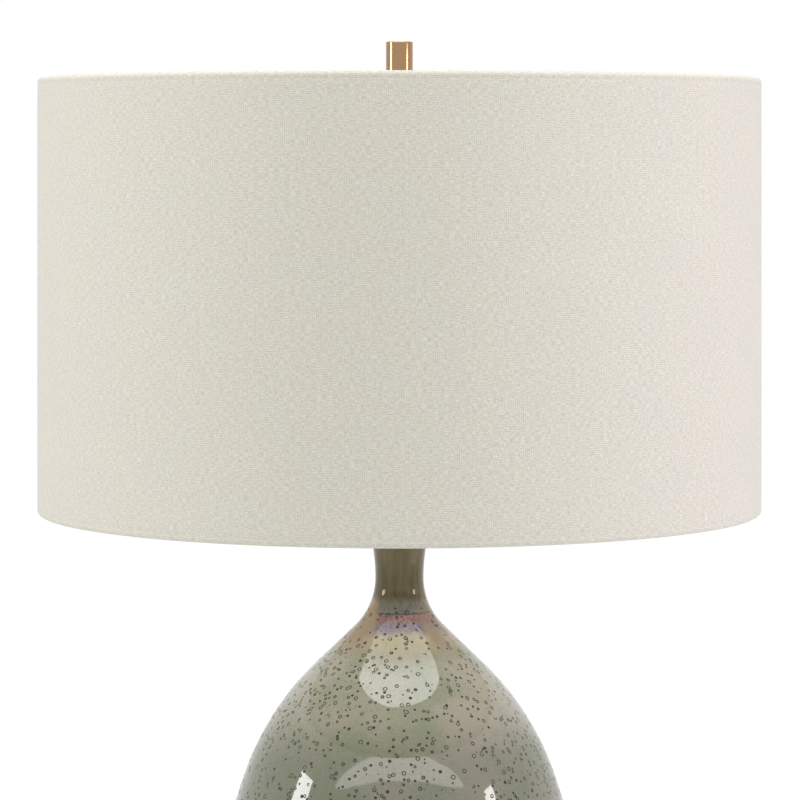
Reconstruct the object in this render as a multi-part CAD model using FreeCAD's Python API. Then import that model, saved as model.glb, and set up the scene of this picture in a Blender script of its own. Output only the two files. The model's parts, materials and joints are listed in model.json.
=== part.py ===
"""A table lamp: a glazed bottle-shaped jar on a round metal base, with a harp, a drum shade and a finial.

Millimetres, +Z up. The origin is the middle of the underside of the felt pad, where the lamp stands on a
table. The harp lies in the XZ plane, the switch knob points to the front (-Y), and the cord leaves the
base at the back (+Y). Every height is stacked from the table upwards, so a piece that grows lifts all
that stands on it.
"""

import FreeCAD, Part
import math
import os
from FreeCAD import Vector

# ---------------------------------------------------------------- driving dimensions (mm, degrees)

# Clearances
GLUE_GAP = 0.05  # between bonded sheets, so that their faces stay apart
RUNNING_GAP = 0.08  # radial play of a piece that turns or slides on another
SEAT_GAP = 0.05  # under a piece that turns on the face it sits on
PIPE_GAP = 0.1  # radial play of the holes that the threaded pipe goes through

# Felt pad and metal base
FELT_THICKNESS = 2.0
FELT_INSET = 2.0  # the felt stops this far inside the base's edge
BASE_MARGIN = 11.0  # the base stands out this far past the foot
BASE_HEIGHT = 20.0
BASE_SHEET = 1.5
BASE_TOP_ROUND = 3.0
BASE_BOTTOM_ROUND = 1.4
BASE_FLANGE = 10.0  # turned-in lip that the felt is glued to
WEIGHT_THICKNESS = 9.0
WEIGHT_INSET = 4.0  # the weight passes the turned-in lip with this to spare
CLAMP_WASHER_RADIUS = 16.0
CLAMP_WASHER_THICKNESS = 2.0
LOCK_WASHER_RADIUS = 8.5
LOCK_WASHER_THICKNESS = 1.5
LOCK_WASHER_SPLIT = 1.2
NUT_ACROSS_FLATS = 14.0
NUT_THICKNESS = 4.2
NUT_CHAMFER = 0.8

# Bushing in the back of the base, where a cord would come out
BUSHING_BORE_RADIUS = 3.3
BUSHING_WALL = 1.5
BUSHING_FLANGE_RADIUS = 6.2
BUSHING_FLANGE = 1.6
BUSHING_SNAP = 0.5
BUSHING_SNAP_LENGTH = 2.4

# Jar: arcs that run into each other, with angles from the vertical
JAR_WALL = 5.0
FOOT_RADIUS = 65.0  # where the lower curve would meet the foot plane
FOOT_ROUND = 4.0
FOOT_RING_WIDTH = 9.0
FOOT_RECESS = 3.0
FLOOR_THICKNESS = 6.0
FLOOR_HOLE_RADIUS = 8.0
BELLY_RADIUS = 114.8
BELLY_HEIGHT = 134.0  # above the foot
BELLY_ARC = 262.0
SHOULDER_ARC = 183.0
SHOULDER_START = 20.6
FLANK_ANGLE = 46.0
NECK_ARC = 42.8
WAIST_RADIUS = 15.4
FLARE_ARC = 116.0
LIP_RISE = 28.0  # lip above the waist of the neck
LIP_ROUND = 1.6
FOOT_GASKET = 1.5

# Fittings on the neck
NECK_GASKET = 1.0
NECK_CAP_OVERHANG = 0.8
NECK_CAP_THICKNESS = 3.0
NECK_CAP_ROUND = 1.2
NECK_SKIRT_LENGTH = 7.0
NECK_SKIRT_WALL = 1.2
NECK_SKIRT_PLAY = 0.6
NECK_TUBE_RADIUS = 10.0
NECK_TUBE_WALL = 1.2
NECK_TUBE_LENGTH = 15.0

# Threaded pipe
PIPE_RADIUS = 5.1
PIPE_BORE_RADIUS = 3.4
PIPE_STICK_OUT = 0.8  # past the bottom nut, and past the socket's bush

# Harp
SADDLE_SHEET = 1.5
SADDLE_RIM = 5.8  # metal beside the pipe hole, at the middle of the saddle
SADDLE_BEND = 7.0
SADDLE_ARM_HEIGHT = 19.0
SADDLE_ARM_WIDTH = 8.0
HARP_WIRE_RADIUS = 2.0
HARP_FOOT_SPREAD = 31.0  # half of the width at the feet
HARP_BELLY_SPREAD = 62.0
HARP_SHOULDER_SPREAD = 46.0
HARP_LEG_RISE = 73.0
HARP_BELLY_RISE = 156.0
HARP_HEIGHT = 254.0  # from under the saddle to the seat of the shade
HARP_LEG_BEND = 60.0
HARP_BELLY_BEND = 120.0
HARP_SHOULDER_BEND = 22.0
HARP_JOINT_LENGTH = 10.0  # half-round ends of harp and saddle that the sleeves hold together
SLEEVE_LENGTH = 13.0
SLEEVE_WALL = 1.2
STUD_SEAT_RADIUS = 6.0
STUD_SEAT_ABOVE_WIRE = 2.0
STUD_SEAT_BELOW_WIRE = 1.6
STUD_RADIUS = 3.1
STUD_LENGTH = 13.5

# Socket
BUSH_RADIUS = 7.2
BUSH_HEIGHT = 8.0
CAP_DOME_HEIGHT = 9.0
CAP_RIM_HEIGHT = 7.0
CAP_SHEET = 0.7
SHELL_SHEET = 0.6
SHELL_LENGTH = 48.0
SHELL_IN_CAP = 5.0
SHELL_BEAD = 0.7
PAPER_THICKNESS = 0.8
PAPER_PLAY = 1.3  # between the screw shell and the paper tube
PAPER_ABOVE_SHELL = 1.2
CORE_GAP = 0.7  # between the core and the paper tube
CORE_HEIGHT = 19.0
CORE_ABOVE_CAP_SEAM = 2.0
CONTACT_RADIUS = 3.5
CONTACT_HEIGHT = 2.0
TERMINAL_HEAD_RADIUS = 3.0
TERMINAL_HEAD = 1.8
TERMINAL_SHANK_RADIUS = 1.5
TERMINAL_SHANK = 4.0
TERMINAL_RECESS = 2.4
TERMINAL_SLOT = 0.8
TERMINAL_SLOT_DEPTH = 0.7
SET_SCREW_RADIUS = 1.5
SET_SCREW_LENGTH = 4.4
STEM_RADIUS = 2.0
STEM_DEPTH = 8.0  # inside the core
STEM_HEIGHT = 9.5  # above the underside of the core
KNOB_GAP = 2.4  # between the socket shell and the knob
KNOB_COLLAR_RADIUS = 4.6
KNOB_COLLAR_LENGTH = 5.0
KNOB_LENGTH = 21.0
KNOB_WIDTH = 13.0
KNOB_THICKNESS = 4.6
SLOT_PLAY = 1.0

# Bulb
THREAD_ROOT_RADIUS = 12.3
THREAD_DEPTH = 0.7
THREAD_PITCH = 3.6
THREAD_TURNS = 5
THREAD_LEAD_IN = 3.4
THREAD_PLAY = 0.35
THREAD_SHEET = 0.5
BULB_RADIUS = 30.0
BULB_NECK_STEP = 0.7  # the glass neck is this much wider than the root of the screw cap
BULB_NECK_RISE = 3.0
BULB_NECK_ARC = 40.0
BULB_GLASS = 0.8
BULB_COLLAR_HEIGHT = 4.0
BULB_TIP_RADIUS = 4.6
BULB_TIP_HEIGHT = 1.4
BULB_TIP_ROUND = 1.0

# Shade
SHADE_BOTTOM_RADIUS = 229.0
SHADE_TOP_RADIUS = 227.2
SHADE_HEIGHT = 273.3
FABRIC_THICKNESS = 0.6
LINER_THICKNESS = 0.8
ROLL_RADIUS = 2.6  # outside of the rolled edge
RING_GAP = 0.35  # glue between the wire rings and the cloth rolled over them
HEM_DEPTH = 12.0
HEM_SLOPE = 5.0
SPIDER_DROP = 12.0  # top of the hub below the top edge of the shade
HUB_RADIUS = 12.0
HUB_THICKNESS = 3.0
ARM_WIRE_RADIUS = 1.4
ARM_RISE_LENGTH = 34.0
ARM_BEND = 30.0
ARM_COUNT = 3
ARM_NOTCH_PLAY = 0.5

# Finial
FINIAL_RADIUS = 8.5
FINIAL_HEIGHT = 35.0
FINIAL_EDGE = 0.5
FINIAL_BORE_SPARE = 1.5

# ---------------------------------------------------------------- sizes that follow from others

BASE_RADIUS = FOOT_RADIUS + BASE_MARGIN
SCREW_SHELL_ROOT = THREAD_ROOT_RADIUS + THREAD_PLAY + THREAD_SHEET
PAPER_INNER = SCREW_SHELL_ROOT + THREAD_DEPTH + PAPER_PLAY
SHELL_RADIUS = PAPER_INNER + PAPER_THICKNESS + GLUE_GAP + SHELL_SHEET
BULB_NECK_RADIUS = THREAD_ROOT_RADIUS + BULB_NECK_STEP
BASE_TOP = FELT_THICKNESS + BASE_HEIGHT
JAR_FOOT = BASE_TOP + FOOT_GASKET
BELLY_Z = JAR_FOOT + BELLY_HEIGHT

# ---------------------------------------------------------------- small tools


def sine(degrees):
    return math.sin(math.radians(degrees))


def cosine(degrees):
    return math.cos(math.radians(degrees))


def rz(radius, height):
    """A point of an outline that is turned about the lamp's axis."""
    return Vector(radius, 0, height)


def line(start, end):
    return Part.LineSegment(start, end).toShape()


def arc(start, middle, end):
    return Part.Arc(start, middle, end).toShape()


def arc_about(centre, radius, start, end):
    """An arc in the outline plane. Angles are in degrees from +r towards +z."""
    points = [centre + rz(radius * cosine(a), radius * sine(a)) for a in (start, (start + end) / 2, end)]
    return arc(*points)


def rounded(corners, closed=True):
    """Straight runs joined by tangent arcs. Each corner is (point, radius), and a radius of 0 is sharp."""
    count = len(corners)
    ends = []
    for i, (point, radius) in enumerate(corners):
        if radius == 0 or (not closed and i in (0, count - 1)):
            ends.append((point, None, point))
            continue
        come = (point - corners[i - 1][0]).normalize()
        leave = (corners[(i + 1) % count][0] - point).normalize()
        half_turn = come.getAngle(leave) / 2
        inward = (leave - come).normalize()
        reach = radius * math.tan(half_turn)
        middle = point + inward * (radius / math.cos(half_turn) - radius)
        ends.append((point - come * reach, middle, point + leave * reach))
    edges = []
    for i, (start, middle, end) in enumerate(ends):
        if middle is not None:
            edges.append(arc(start, middle, end))
        if not closed and i == count - 1:
            break
        following = ends[(i + 1) % count][0]
        if (following - end).Length > 1e-6:
            edges.append(line(end, following))
    return edges


def outward(solid):
    """The same solid with its faces pointing out."""
    if solid.Volume < 0:
        solid.reverse()
    return solid


def turned(edges):
    """The solid that a closed outline makes when it turns about the lamp's axis."""
    solid = Part.Face(Part.Wire(edges)).revolve(Vector(), Vector(0, 0, 1), 360)
    return outward(solid)


def turned_outline(corners):
    """As turned, from (radius, height) or (radius, height, rounding) corners."""
    return turned(rounded([(rz(c[0], c[1]), c[2] if len(c) > 2 else 0) for c in corners]))


def disc(radius, low, high):
    return Part.makeCylinder(radius, high - low, Vector(0, 0, low))


def tube(outer, inner, low, high):
    return disc(outer, low, high).cut(disc(inner, low - 1, high + 1))


def rod_between(radius, start, end):
    """A round bar from one point to another."""
    along = end - start
    return Part.makeCylinder(radius, along.Length, start, along)


def hex_nut(across_flats, low, high, hole):
    corner = across_flats / 2 / cosine(30)
    points = [Vector(corner * cosine(a), corner * sine(a), low) for a in range(0, 420, 60)]
    blank = Part.Face(Part.makePolygon(points)).extrude(Vector(0, 0, high - low))
    chamfer = turned_outline(
        [
            (0, low),
            (across_flats / 2, low),
            (corner, low + NUT_CHAMFER),
            (corner, high - NUT_CHAMFER),
            (across_flats / 2, high),
            (0, high),
        ]
    )
    return blank.common(chamfer).cut(disc(hole, low - 1, high + 1))


def swept(path_edges, radius):
    """A round wire along straight runs and tangent arcs."""
    path = Part.Wire(path_edges)
    start = path.OrderedVertexes[0].Point
    direction = path.OrderedEdges[0].tangentAt(path.OrderedEdges[0].FirstParameter)
    ring = Part.Wire(Part.Circle(start, direction, radius).toShape())
    return outward(path.makePipeShell([ring], True, False))


def box(low, high):
    return Part.makeBox(*(b - a for a, b in zip(low, high)), Vector(*low))


# ---------------------------------------------------------------- base


def base_pieces():
    """Felt pad, spun cover, weight, clamp hardware and the bushing at the back."""
    bottom = FELT_THICKNESS
    under_top = BASE_TOP - BASE_SHEET
    flange_edge = BASE_RADIUS - BASE_FLANGE
    hole = PIPE_RADIUS + PIPE_GAP
    cover = turned_outline(
        [
            (hole, BASE_TOP),
            (BASE_RADIUS, BASE_TOP, BASE_TOP_ROUND),
            (BASE_RADIUS, bottom, BASE_BOTTOM_ROUND),
            (flange_edge, bottom),
            (flange_edge, bottom + BASE_SHEET),
            (BASE_RADIUS - BASE_SHEET, bottom + BASE_SHEET),
            (BASE_RADIUS - BASE_SHEET, under_top, BASE_TOP_ROUND - BASE_SHEET),
            (hole, under_top),
        ]
    )
    weight_bottom = under_top - WEIGHT_THICKNESS
    weight_radius = flange_edge - WEIGHT_INSET
    washer_bottom = weight_bottom - CLAMP_WASHER_THICKNESS
    lock_bottom = washer_bottom - LOCK_WASHER_THICKNESS
    nut_bottom = lock_bottom - NUT_THICKNESS
    half_split = LOCK_WASHER_SPLIT / 2
    split = box((-half_split, 0, lock_bottom - 1), (half_split, LOCK_WASHER_RADIUS + 1, washer_bottom + 1))
    bushing, wall_hole = cord_bushing((bottom + BASE_SHEET + under_top) / 2)
    return {
        "felt_pad": disc(BASE_RADIUS - FELT_INSET, 0, FELT_THICKNESS),
        "base_cover": cover.cut(wall_hole),
        "base_weight": tube(weight_radius, hole, weight_bottom, under_top),
        "bottom_clamp_washer": tube(CLAMP_WASHER_RADIUS, hole, washer_bottom, weight_bottom),
        "bottom_lock_washer": tube(LOCK_WASHER_RADIUS, hole, lock_bottom, washer_bottom).cut(split),
        "bottom_nut": hex_nut(NUT_ACROSS_FLATS, nut_bottom, lock_bottom, hole),
        "cord_bushing": bushing,
    }, nut_bottom - PIPE_STICK_OUT


def cord_bushing(height):
    """A flanged plastic bushing in the cover's back wall, and the hole that it snaps into."""
    wall_out = BASE_RADIUS
    wall_in = BASE_RADIUS - BASE_SHEET
    barrel_radius = BUSHING_BORE_RADIUS + BUSHING_WALL

    def along(radius, start, end):
        return rod_between(radius, Vector(0, start, height), Vector(0, end, height))

    wall_hole = along(barrel_radius + GLUE_GAP, wall_in - 4, wall_out + 4)
    outer_end = wall_out + BUSHING_FLANGE
    inner_end = wall_in - BUSHING_SNAP_LENGTH - 1
    flange = along(BUSHING_FLANGE_RADIUS, wall_out - 2, outer_end).cut(disc(wall_out + GLUE_GAP, 0, BASE_TOP))
    rim = [e for e in flange.Edges if e.BoundBox.YMin > outer_end - 1e-3]
    flange = flange.makeFillet(BUSHING_FLANGE / 2, rim)
    snap = along(barrel_radius + BUSHING_SNAP, wall_in - BUSHING_SNAP_LENGTH, wall_in).common(
        disc(wall_in - GLUE_GAP, 0, BASE_TOP)
    )
    barrel = along(barrel_radius, inner_end, wall_out + BUSHING_FLANGE / 2)
    bore = along(BUSHING_BORE_RADIUS, inner_end - 1, outer_end + 1)
    return flange.fuse([snap, barrel]).cut(bore).removeSplitter(), wall_hole


# ---------------------------------------------------------------- jar


class JarOutline:
    """The jar's side as arcs, and the same side set in by a wall. Everything is in (radius, height)."""

    def __init__(self):
        drop, pull_in = BELLY_HEIGHT, BELLY_RADIUS - FOOT_RADIUS
        self.lower_arc = (drop**2 + pull_in**2) / (2 * pull_in)
        self.lower_centre = rz(BELLY_RADIUS - self.lower_arc, BELLY_Z)
        self.belly_centre = rz(BELLY_RADIUS - BELLY_ARC, BELLY_Z)
        start = rz(cosine(SHOULDER_START), sine(SHOULDER_START))
        self.shoulder_centre = self.belly_centre + start * (BELLY_ARC - SHOULDER_ARC)
        lean = rz(cosine(FLANK_ANGLE), sine(FLANK_ANGLE))
        shoulder_end = self.shoulder_centre + lean * SHOULDER_ARC
        flank_pull_in = shoulder_end.x - WAIST_RADIUS - NECK_ARC * (1 - cosine(FLANK_ANGLE))
        flank = rz(-sine(FLANK_ANGLE), cosine(FLANK_ANGLE)) * (flank_pull_in / sine(FLANK_ANGLE))
        self.neck_centre = shoulder_end + flank + lean * NECK_ARC
        self.waist = self.neck_centre.z
        self.lip = self.waist + LIP_RISE
        self.flare_centre = rz(WAIST_RADIUS + FLARE_ARC, self.waist)

    def foot_angle(self, inset, height):
        """Where the lower arc, set in by the wall, reaches a height."""
        return -math.degrees(math.asin((BELLY_Z - height) / (self.lower_arc - inset)))

    def flare_angle(self, inset, height):
        """Where the flare above the waist reaches a height."""
        return 180 - math.degrees(math.asin((height - self.waist) / (FLARE_ARC + inset)))

    def radius_at_lip(self, inset, height):
        return self.flare_centre.x + (FLARE_ARC + inset) * cosine(self.flare_angle(inset, height))

    def side(self, inset, foot_angle, flare_angle):
        """The edges from the foot up to the lip."""
        lower = arc_about(self.lower_centre, self.lower_arc - inset, foot_angle, 0)
        belly = arc_about(self.belly_centre, BELLY_ARC - inset, 0, SHOULDER_START)
        shoulder = arc_about(self.shoulder_centre, SHOULDER_ARC - inset, SHOULDER_START, FLANK_ANGLE)
        neck = arc_about(self.neck_centre, NECK_ARC + inset, 180 + FLANK_ANGLE, 180)
        flank = line(shoulder.valueAt(shoulder.LastParameter), neck.valueAt(neck.FirstParameter))
        flare = arc_about(self.flare_centre, FLARE_ARC + inset, 180, flare_angle)
        return [lower, belly, shoulder, flank, neck, flare]


def end_of(edge):
    return edge.valueAt(edge.LastParameter)


def start_of(edge):
    return edge.valueAt(edge.FirstParameter)


def jar_body(outline):
    """The hollow jar: rounded foot ring, drilled floor, belly, neck and lip."""
    foot_angle = outline.foot_angle(FOOT_ROUND, JAR_FOOT + FOOT_ROUND)
    lip_angle = outline.flare_angle(LIP_ROUND, outline.lip - LIP_ROUND)
    outer = outline.side(0, foot_angle, lip_angle)
    foot_lean = rz(cosine(foot_angle), sine(foot_angle))
    foot_centre = outline.lower_centre + foot_lean * (outline.lower_arc - FOOT_ROUND)
    foot = arc_about(foot_centre, FOOT_ROUND, -90, foot_angle)
    lip_centre = outline.flare_centre + rz(cosine(lip_angle), sine(lip_angle)) * (FLARE_ARC + LIP_ROUND)
    lip_start = lip_angle - 180
    lip = arc_about(lip_centre, LIP_ROUND, lip_start, 90)

    floor_top = JAR_FOOT + FOOT_RECESS + FLOOR_THICKNESS
    inner = outline.side(
        JAR_WALL, outline.foot_angle(JAR_WALL, floor_top), outline.flare_angle(JAR_WALL, outline.lip)
    )
    ring_inner = foot_centre.x - FOOT_RING_WIDTH
    under = [
        end_of(lip),
        end_of(inner[-1]),
    ]
    floor = [
        start_of(inner[0]),
        rz(FLOOR_HOLE_RADIUS, floor_top),
        rz(FLOOR_HOLE_RADIUS, JAR_FOOT + FOOT_RECESS),
        rz(ring_inner, JAR_FOOT + FOOT_RECESS),
        rz(ring_inner, JAR_FOOT),
        start_of(foot),
    ]
    edges = [foot, *outer, lip, line(*under), *inner]
    edges += [line(a, b) for a, b in zip(floor, floor[1:])]
    return turned(Part.sortEdges(edges)[0]), ring_inner, foot_centre.x


def jar_pieces(outline):
    body, ring_inner, ring_outer = jar_body(outline)
    return {
        "jar_body": body,
        "foot_gasket": tube(ring_outer, ring_inner, BASE_TOP, JAR_FOOT),
    }


# ---------------------------------------------------------------- neck fittings and pipe


def neck_pieces(outline):
    """Gasket, turned cap, nut and spacer tube above the lip. Returns them and the height of their top."""
    lip_outer = outline.radius_at_lip(0, outline.lip)
    lip_bore = outline.radius_at_lip(JAR_WALL, outline.lip)
    hole = PIPE_RADIUS + PIPE_GAP
    cap_low = outline.lip + NECK_GASKET
    cap_high = cap_low + NECK_CAP_THICKNESS
    skirt_outer = WAIST_RADIUS - JAR_WALL - NECK_SKIRT_PLAY
    skirt_inner = skirt_outer - NECK_SKIRT_WALL
    cap_radius = lip_outer + NECK_CAP_OVERHANG
    cap = turned_outline(
        [
            (hole, cap_high),
            (cap_radius, cap_high, NECK_CAP_ROUND),
            (cap_radius, cap_low),
            (skirt_outer, cap_low),
            (skirt_outer, cap_low - NECK_SKIRT_LENGTH),
            (skirt_inner, cap_low - NECK_SKIRT_LENGTH),
            (skirt_inner, cap_low),
            (hole, cap_low),
        ]
    )
    tube_top = cap_high + NECK_TUBE_LENGTH
    return {
        "neck_gasket": tube(lip_outer - LIP_ROUND, lip_bore, outline.lip, cap_low),
        "neck_cap": cap,
        "neck_nut": hex_nut(NUT_ACROSS_FLATS, cap_high, cap_high + NUT_THICKNESS, hole),
        "neck_tube": tube(NECK_TUBE_RADIUS, NECK_TUBE_RADIUS - NECK_TUBE_WALL, cap_high, tube_top),
    }, tube_top


# ---------------------------------------------------------------- harp


def saddle(low):
    """The stamped strip under the socket: a round middle, and arms that end in half-round posts."""
    spread = HARP_FOOT_SPREAD
    high = low + SADDLE_ARM_HEIGHT
    inner = spread - SADDLE_SHEET
    outer_bend = SADDLE_BEND + SADDLE_SHEET
    strip = rounded(
        [
            (Vector(-spread, 0, high), 0),
            (Vector(-spread, 0, low), outer_bend),
            (Vector(spread, 0, low), outer_bend),
            (Vector(spread, 0, high), 0),
            (Vector(inner, 0, high), 0),
            (Vector(inner, 0, low + SADDLE_SHEET), SADDLE_BEND),
            (Vector(-inner, 0, low + SADDLE_SHEET), SADDLE_BEND),
            (Vector(-inner, 0, high), 0),
        ]
    )
    bent = Part.Face(Part.Wire(strip)).extrude(Vector(0, SADDLE_ARM_WIDTH, 0))
    bent.translate(Vector(0, -SADDLE_ARM_WIDTH / 2, 0))
    bent = bent.fuse(disc(PIPE_RADIUS + PIPE_GAP + SADDLE_RIM, low, low + SADDLE_SHEET))
    for side in (-1, 1):
        post = disc(HARP_WIRE_RADIUS, high, high + HARP_JOINT_LENGTH)
        post.translate(Vector(side * spread, 0, 0))
        reach = 2 * HARP_WIRE_RADIUS
        x_low, x_high = sorted((side * spread, side * (spread - reach)))
        post = post.common(box((x_low, -reach, high - 1), (x_high, reach, high + HARP_JOINT_LENGTH + 1)))
        bent = bent.fuse(post)
    bore = disc(PIPE_RADIUS + PIPE_GAP, low - 1, low + SADDLE_SHEET + 1)
    return outward(bent.cut(bore).removeSplitter())


def harp_path(low, seat):
    """The bow's centre line, from the right foot over the top to the left foot."""
    foot = low + SADDLE_ARM_HEIGHT
    top = seat - STUD_SEAT_ABOVE_WIRE - HARP_WIRE_RADIUS
    right = [
        (HARP_FOOT_SPREAD, foot, 0),
        (HARP_FOOT_SPREAD, low + HARP_LEG_RISE, HARP_LEG_BEND),
        (HARP_BELLY_SPREAD, low + HARP_BELLY_RISE, HARP_BELLY_BEND),
        (HARP_SHOULDER_SPREAD, top, HARP_SHOULDER_BEND),
    ]
    corners = [(Vector(x, 0, z), bend) for x, z, bend in right]
    corners += [(Vector(-x, 0, z), bend) for x, z, bend in reversed(right)]
    return rounded(corners, closed=False), foot, top


def harp_pieces(low, seat):
    """Saddle, bow, the two sleeves that lock it, and the stud that the shade sits on."""
    path, foot, wire_top = harp_path(low, seat)
    bow = swept(path, HARP_WIRE_RADIUS)
    reach = 2 * HARP_WIRE_RADIUS
    joint_top = foot + HARP_JOINT_LENGTH
    for side in (-1, 1):
        x_low, x_high = sorted((side * (HARP_FOOT_SPREAD + GLUE_GAP), side * (HARP_FOOT_SPREAD - reach)))
        bow = bow.cut(box((x_low, -reach, foot - 1), (x_high, reach, joint_top + GLUE_GAP)))
        under = sorted((side * (HARP_FOOT_SPREAD - reach), side * (HARP_FOOT_SPREAD + reach)))
        bow = bow.cut(box((under[0], -reach, foot - 1), (under[1], reach, foot + GLUE_GAP)))
    seat_low = wire_top - HARP_WIRE_RADIUS - STUD_SEAT_BELOW_WIRE
    stud = disc(STUD_SEAT_RADIUS, seat_low, seat).fuse(disc(STUD_RADIUS, seat, seat + STUD_LENGTH))
    past = Vector(STUD_SEAT_RADIUS + 1, 0, 0)
    middle = Vector(0, 0, wire_top)
    wire_hole = rod_between(HARP_WIRE_RADIUS + GLUE_GAP, middle - past, middle + past)
    inner = HARP_WIRE_RADIUS + RUNNING_GAP
    pieces = {
        "harp_saddle": saddle(low),
        "harp_bow": bow,
        "harp_stud": stud.cut(wire_hole).removeSplitter(),
    }
    for name, side in (("left", -1), ("right", 1)):
        sleeve = tube(inner + SLEEVE_WALL, inner, foot + SEAT_GAP, foot + SEAT_GAP + SLEEVE_LENGTH)
        sleeve.translate(Vector(side * HARP_FOOT_SPREAD, 0, 0))
        pieces["harp_sleeve_" + name] = sleeve
    return pieces


# ---------------------------------------------------------------- socket and switch


def ridges(root, depth, low, count):
    """Rolled ridges, one above the other: a thread with no lead, so that its pieces can turn in place."""
    return [
        arc(
            rz(root, low + i * THREAD_PITCH),
            rz(root + depth, low + (i + 0.5) * THREAD_PITCH),
            rz(root, low + (i + 1) * THREAD_PITCH),
        )
        for i in range(count)
    ]


def rolled_sheet(outer_root, sheet, low, ridge_low, ridge_count, high):
    """A thin tube with rolled ridges between two plain ends."""
    ridge_high = ridge_low + ridge_count * THREAD_PITCH
    edges = []
    for root in (outer_root, outer_root - sheet):
        edges.append(line(rz(root, low), rz(root, ridge_low)))
        edges += ridges(root, THREAD_DEPTH, ridge_low, ridge_count)
        if high > ridge_high:
            edges.append(line(rz(root, ridge_high), rz(root, high)))
    edges.append(line(rz(outer_root, low), rz(outer_root - sheet, low)))
    edges.append(line(rz(outer_root, high), rz(outer_root - sheet, high)))
    return turned(Part.sortEdges(edges)[0])


def socket_cap(low):
    """The domed cup that screws onto the pipe, with its bush."""
    rim = SHELL_RADIUS + GLUE_GAP + CAP_SHEET
    dome_low = low + BUSH_HEIGHT
    dome_high = dome_low + CAP_DOME_HEIGHT
    high = dome_high + CAP_RIM_HEIGHT
    hole = PIPE_RADIUS + PIPE_GAP
    return turned_outline(
        [
            (hole, low),
            (BUSH_RADIUS, low, 0.6),
            (BUSH_RADIUS, dome_low, 2.0),
            (rim - 2.5, dome_low + 1.5, 3.5),
            (rim, dome_high, 4.0),
            (rim, high),
            (rim - CAP_SHEET, high),
            (rim - CAP_SHEET, dome_high + 0.2, 3.3),
            (rim - 2.5 - CAP_SHEET, dome_low + 1.5 + CAP_SHEET, 2.8),
            (hole, dome_low + CAP_SHEET),
        ]
    ), high


def socket_pieces(low):
    """Cap, shell, paper tube, core, screw shell, contact and screws. Returns them and their heights."""
    cap, cap_high = socket_cap(low)
    shell_low = cap_high - SHELL_IN_CAP
    shell_high = shell_low + SHELL_LENGTH
    shell = turned_outline(
        [
            (SHELL_RADIUS - SHELL_SHEET, shell_low),
            (SHELL_RADIUS, shell_low),
            (SHELL_RADIUS, shell_high - 3),
            (SHELL_RADIUS + SHELL_BEAD, shell_high - 2, 0.5),
            (SHELL_RADIUS + SHELL_BEAD, shell_high, 0.3),
            (SHELL_RADIUS - SHELL_SHEET, shell_high),
        ]
    )
    paper = tube(PAPER_INNER + PAPER_THICKNESS, PAPER_INNER, shell_low + 1, shell_high + PAPER_ABOVE_SHELL)
    core_radius = PAPER_INNER - CORE_GAP
    core_low = shell_low + CORE_ABOVE_CAP_SEAM
    core_high = core_low + CORE_HEIGHT
    stem_z = core_low + STEM_HEIGHT
    slot = STEM_RADIUS + SLOT_PLAY
    reach = SHELL_RADIUS + 2
    way_in = box((-slot, -reach, shell_low - 1), (slot, 0, stem_z)).fuse(
        rod_between(slot, Vector(0, -reach, stem_z), Vector(0, 0, stem_z))
    )
    stem_hole_end = Vector(0, STEM_DEPTH - core_radius, stem_z)
    stem_hole = rod_between(STEM_RADIUS + RUNNING_GAP, Vector(0, -core_radius - 1, stem_z), stem_hole_end)
    core = disc(core_radius, core_low, core_high).cut(stem_hole)
    screws = []
    for side in (-1, 1):
        screw, room = terminal_screw(side, core_radius, core_low, stem_z)
        screws.append(screw)
        core = core.cut(room)
    thread_low = core_high + THREAD_LEAD_IN
    thread_count = THREAD_TURNS + 1
    thread_high = thread_low + thread_count * THREAD_PITCH
    screw_start = Vector(0, PIPE_RADIUS + PIPE_GAP, low + BUSH_HEIGHT / 2)
    screw_end = screw_start + Vector(0, SET_SCREW_LENGTH, 0)
    set_screw = rod_between(SET_SCREW_RADIUS, screw_start, screw_end)
    set_screw_hole = rod_between(SET_SCREW_RADIUS + GLUE_GAP, screw_start, screw_end + Vector(0, 2, 0))
    pieces = {
        "socket_cap": cap.cut(set_screw_hole),
        "socket_set_screw": set_screw,
        "socket_shell": shell.cut(way_in),
        "socket_paper_tube": paper.cut(way_in),
        "socket_core": core,
        "socket_terminal_screws": Part.makeCompound(screws),
        "socket_screw_shell": rolled_sheet(
            SCREW_SHELL_ROOT, THREAD_SHEET, core_high, thread_low, thread_count, thread_high
        ),
        "socket_center_contact": disc(CONTACT_RADIUS, core_high, core_high + CONTACT_HEIGHT),
    }
    pieces.update(switch_pieces(core_radius, stem_z))
    return pieces, core_high + CONTACT_HEIGHT, thread_low


def terminal_screw(side, core_radius, core_low, height):
    """One slotted wire screw at the side of the core, and the room that the core leaves for it."""
    face = side * (core_radius - TERMINAL_RECESS)
    inner_end = face - side * TERMINAL_SHANK
    outer_end = face + side * TERMINAL_HEAD

    def along(radius, start, end):
        return rod_between(radius, Vector(start, 0, height), Vector(end, 0, height))

    x_low, x_high = sorted((outer_end - side * TERMINAL_SLOT_DEPTH, outer_end + side))
    reach = TERMINAL_HEAD_RADIUS + 1
    slot = box((x_low, -TERMINAL_SLOT / 2, height - reach), (x_high, TERMINAL_SLOT / 2, height + reach))
    screw = along(TERMINAL_HEAD_RADIUS, face, outer_end).cut(slot)
    screw = screw.fuse(along(TERMINAL_SHANK_RADIUS, face, inner_end)).removeSplitter()
    x_low, x_high = sorted((face, side * (core_radius + 1)))
    room = box((x_low, -core_radius, core_low - 1), (x_high, core_radius, height + reach))
    return screw, room.fuse(along(TERMINAL_SHANK_RADIUS + GLUE_GAP, face, inner_end - side * GLUE_GAP))


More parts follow.
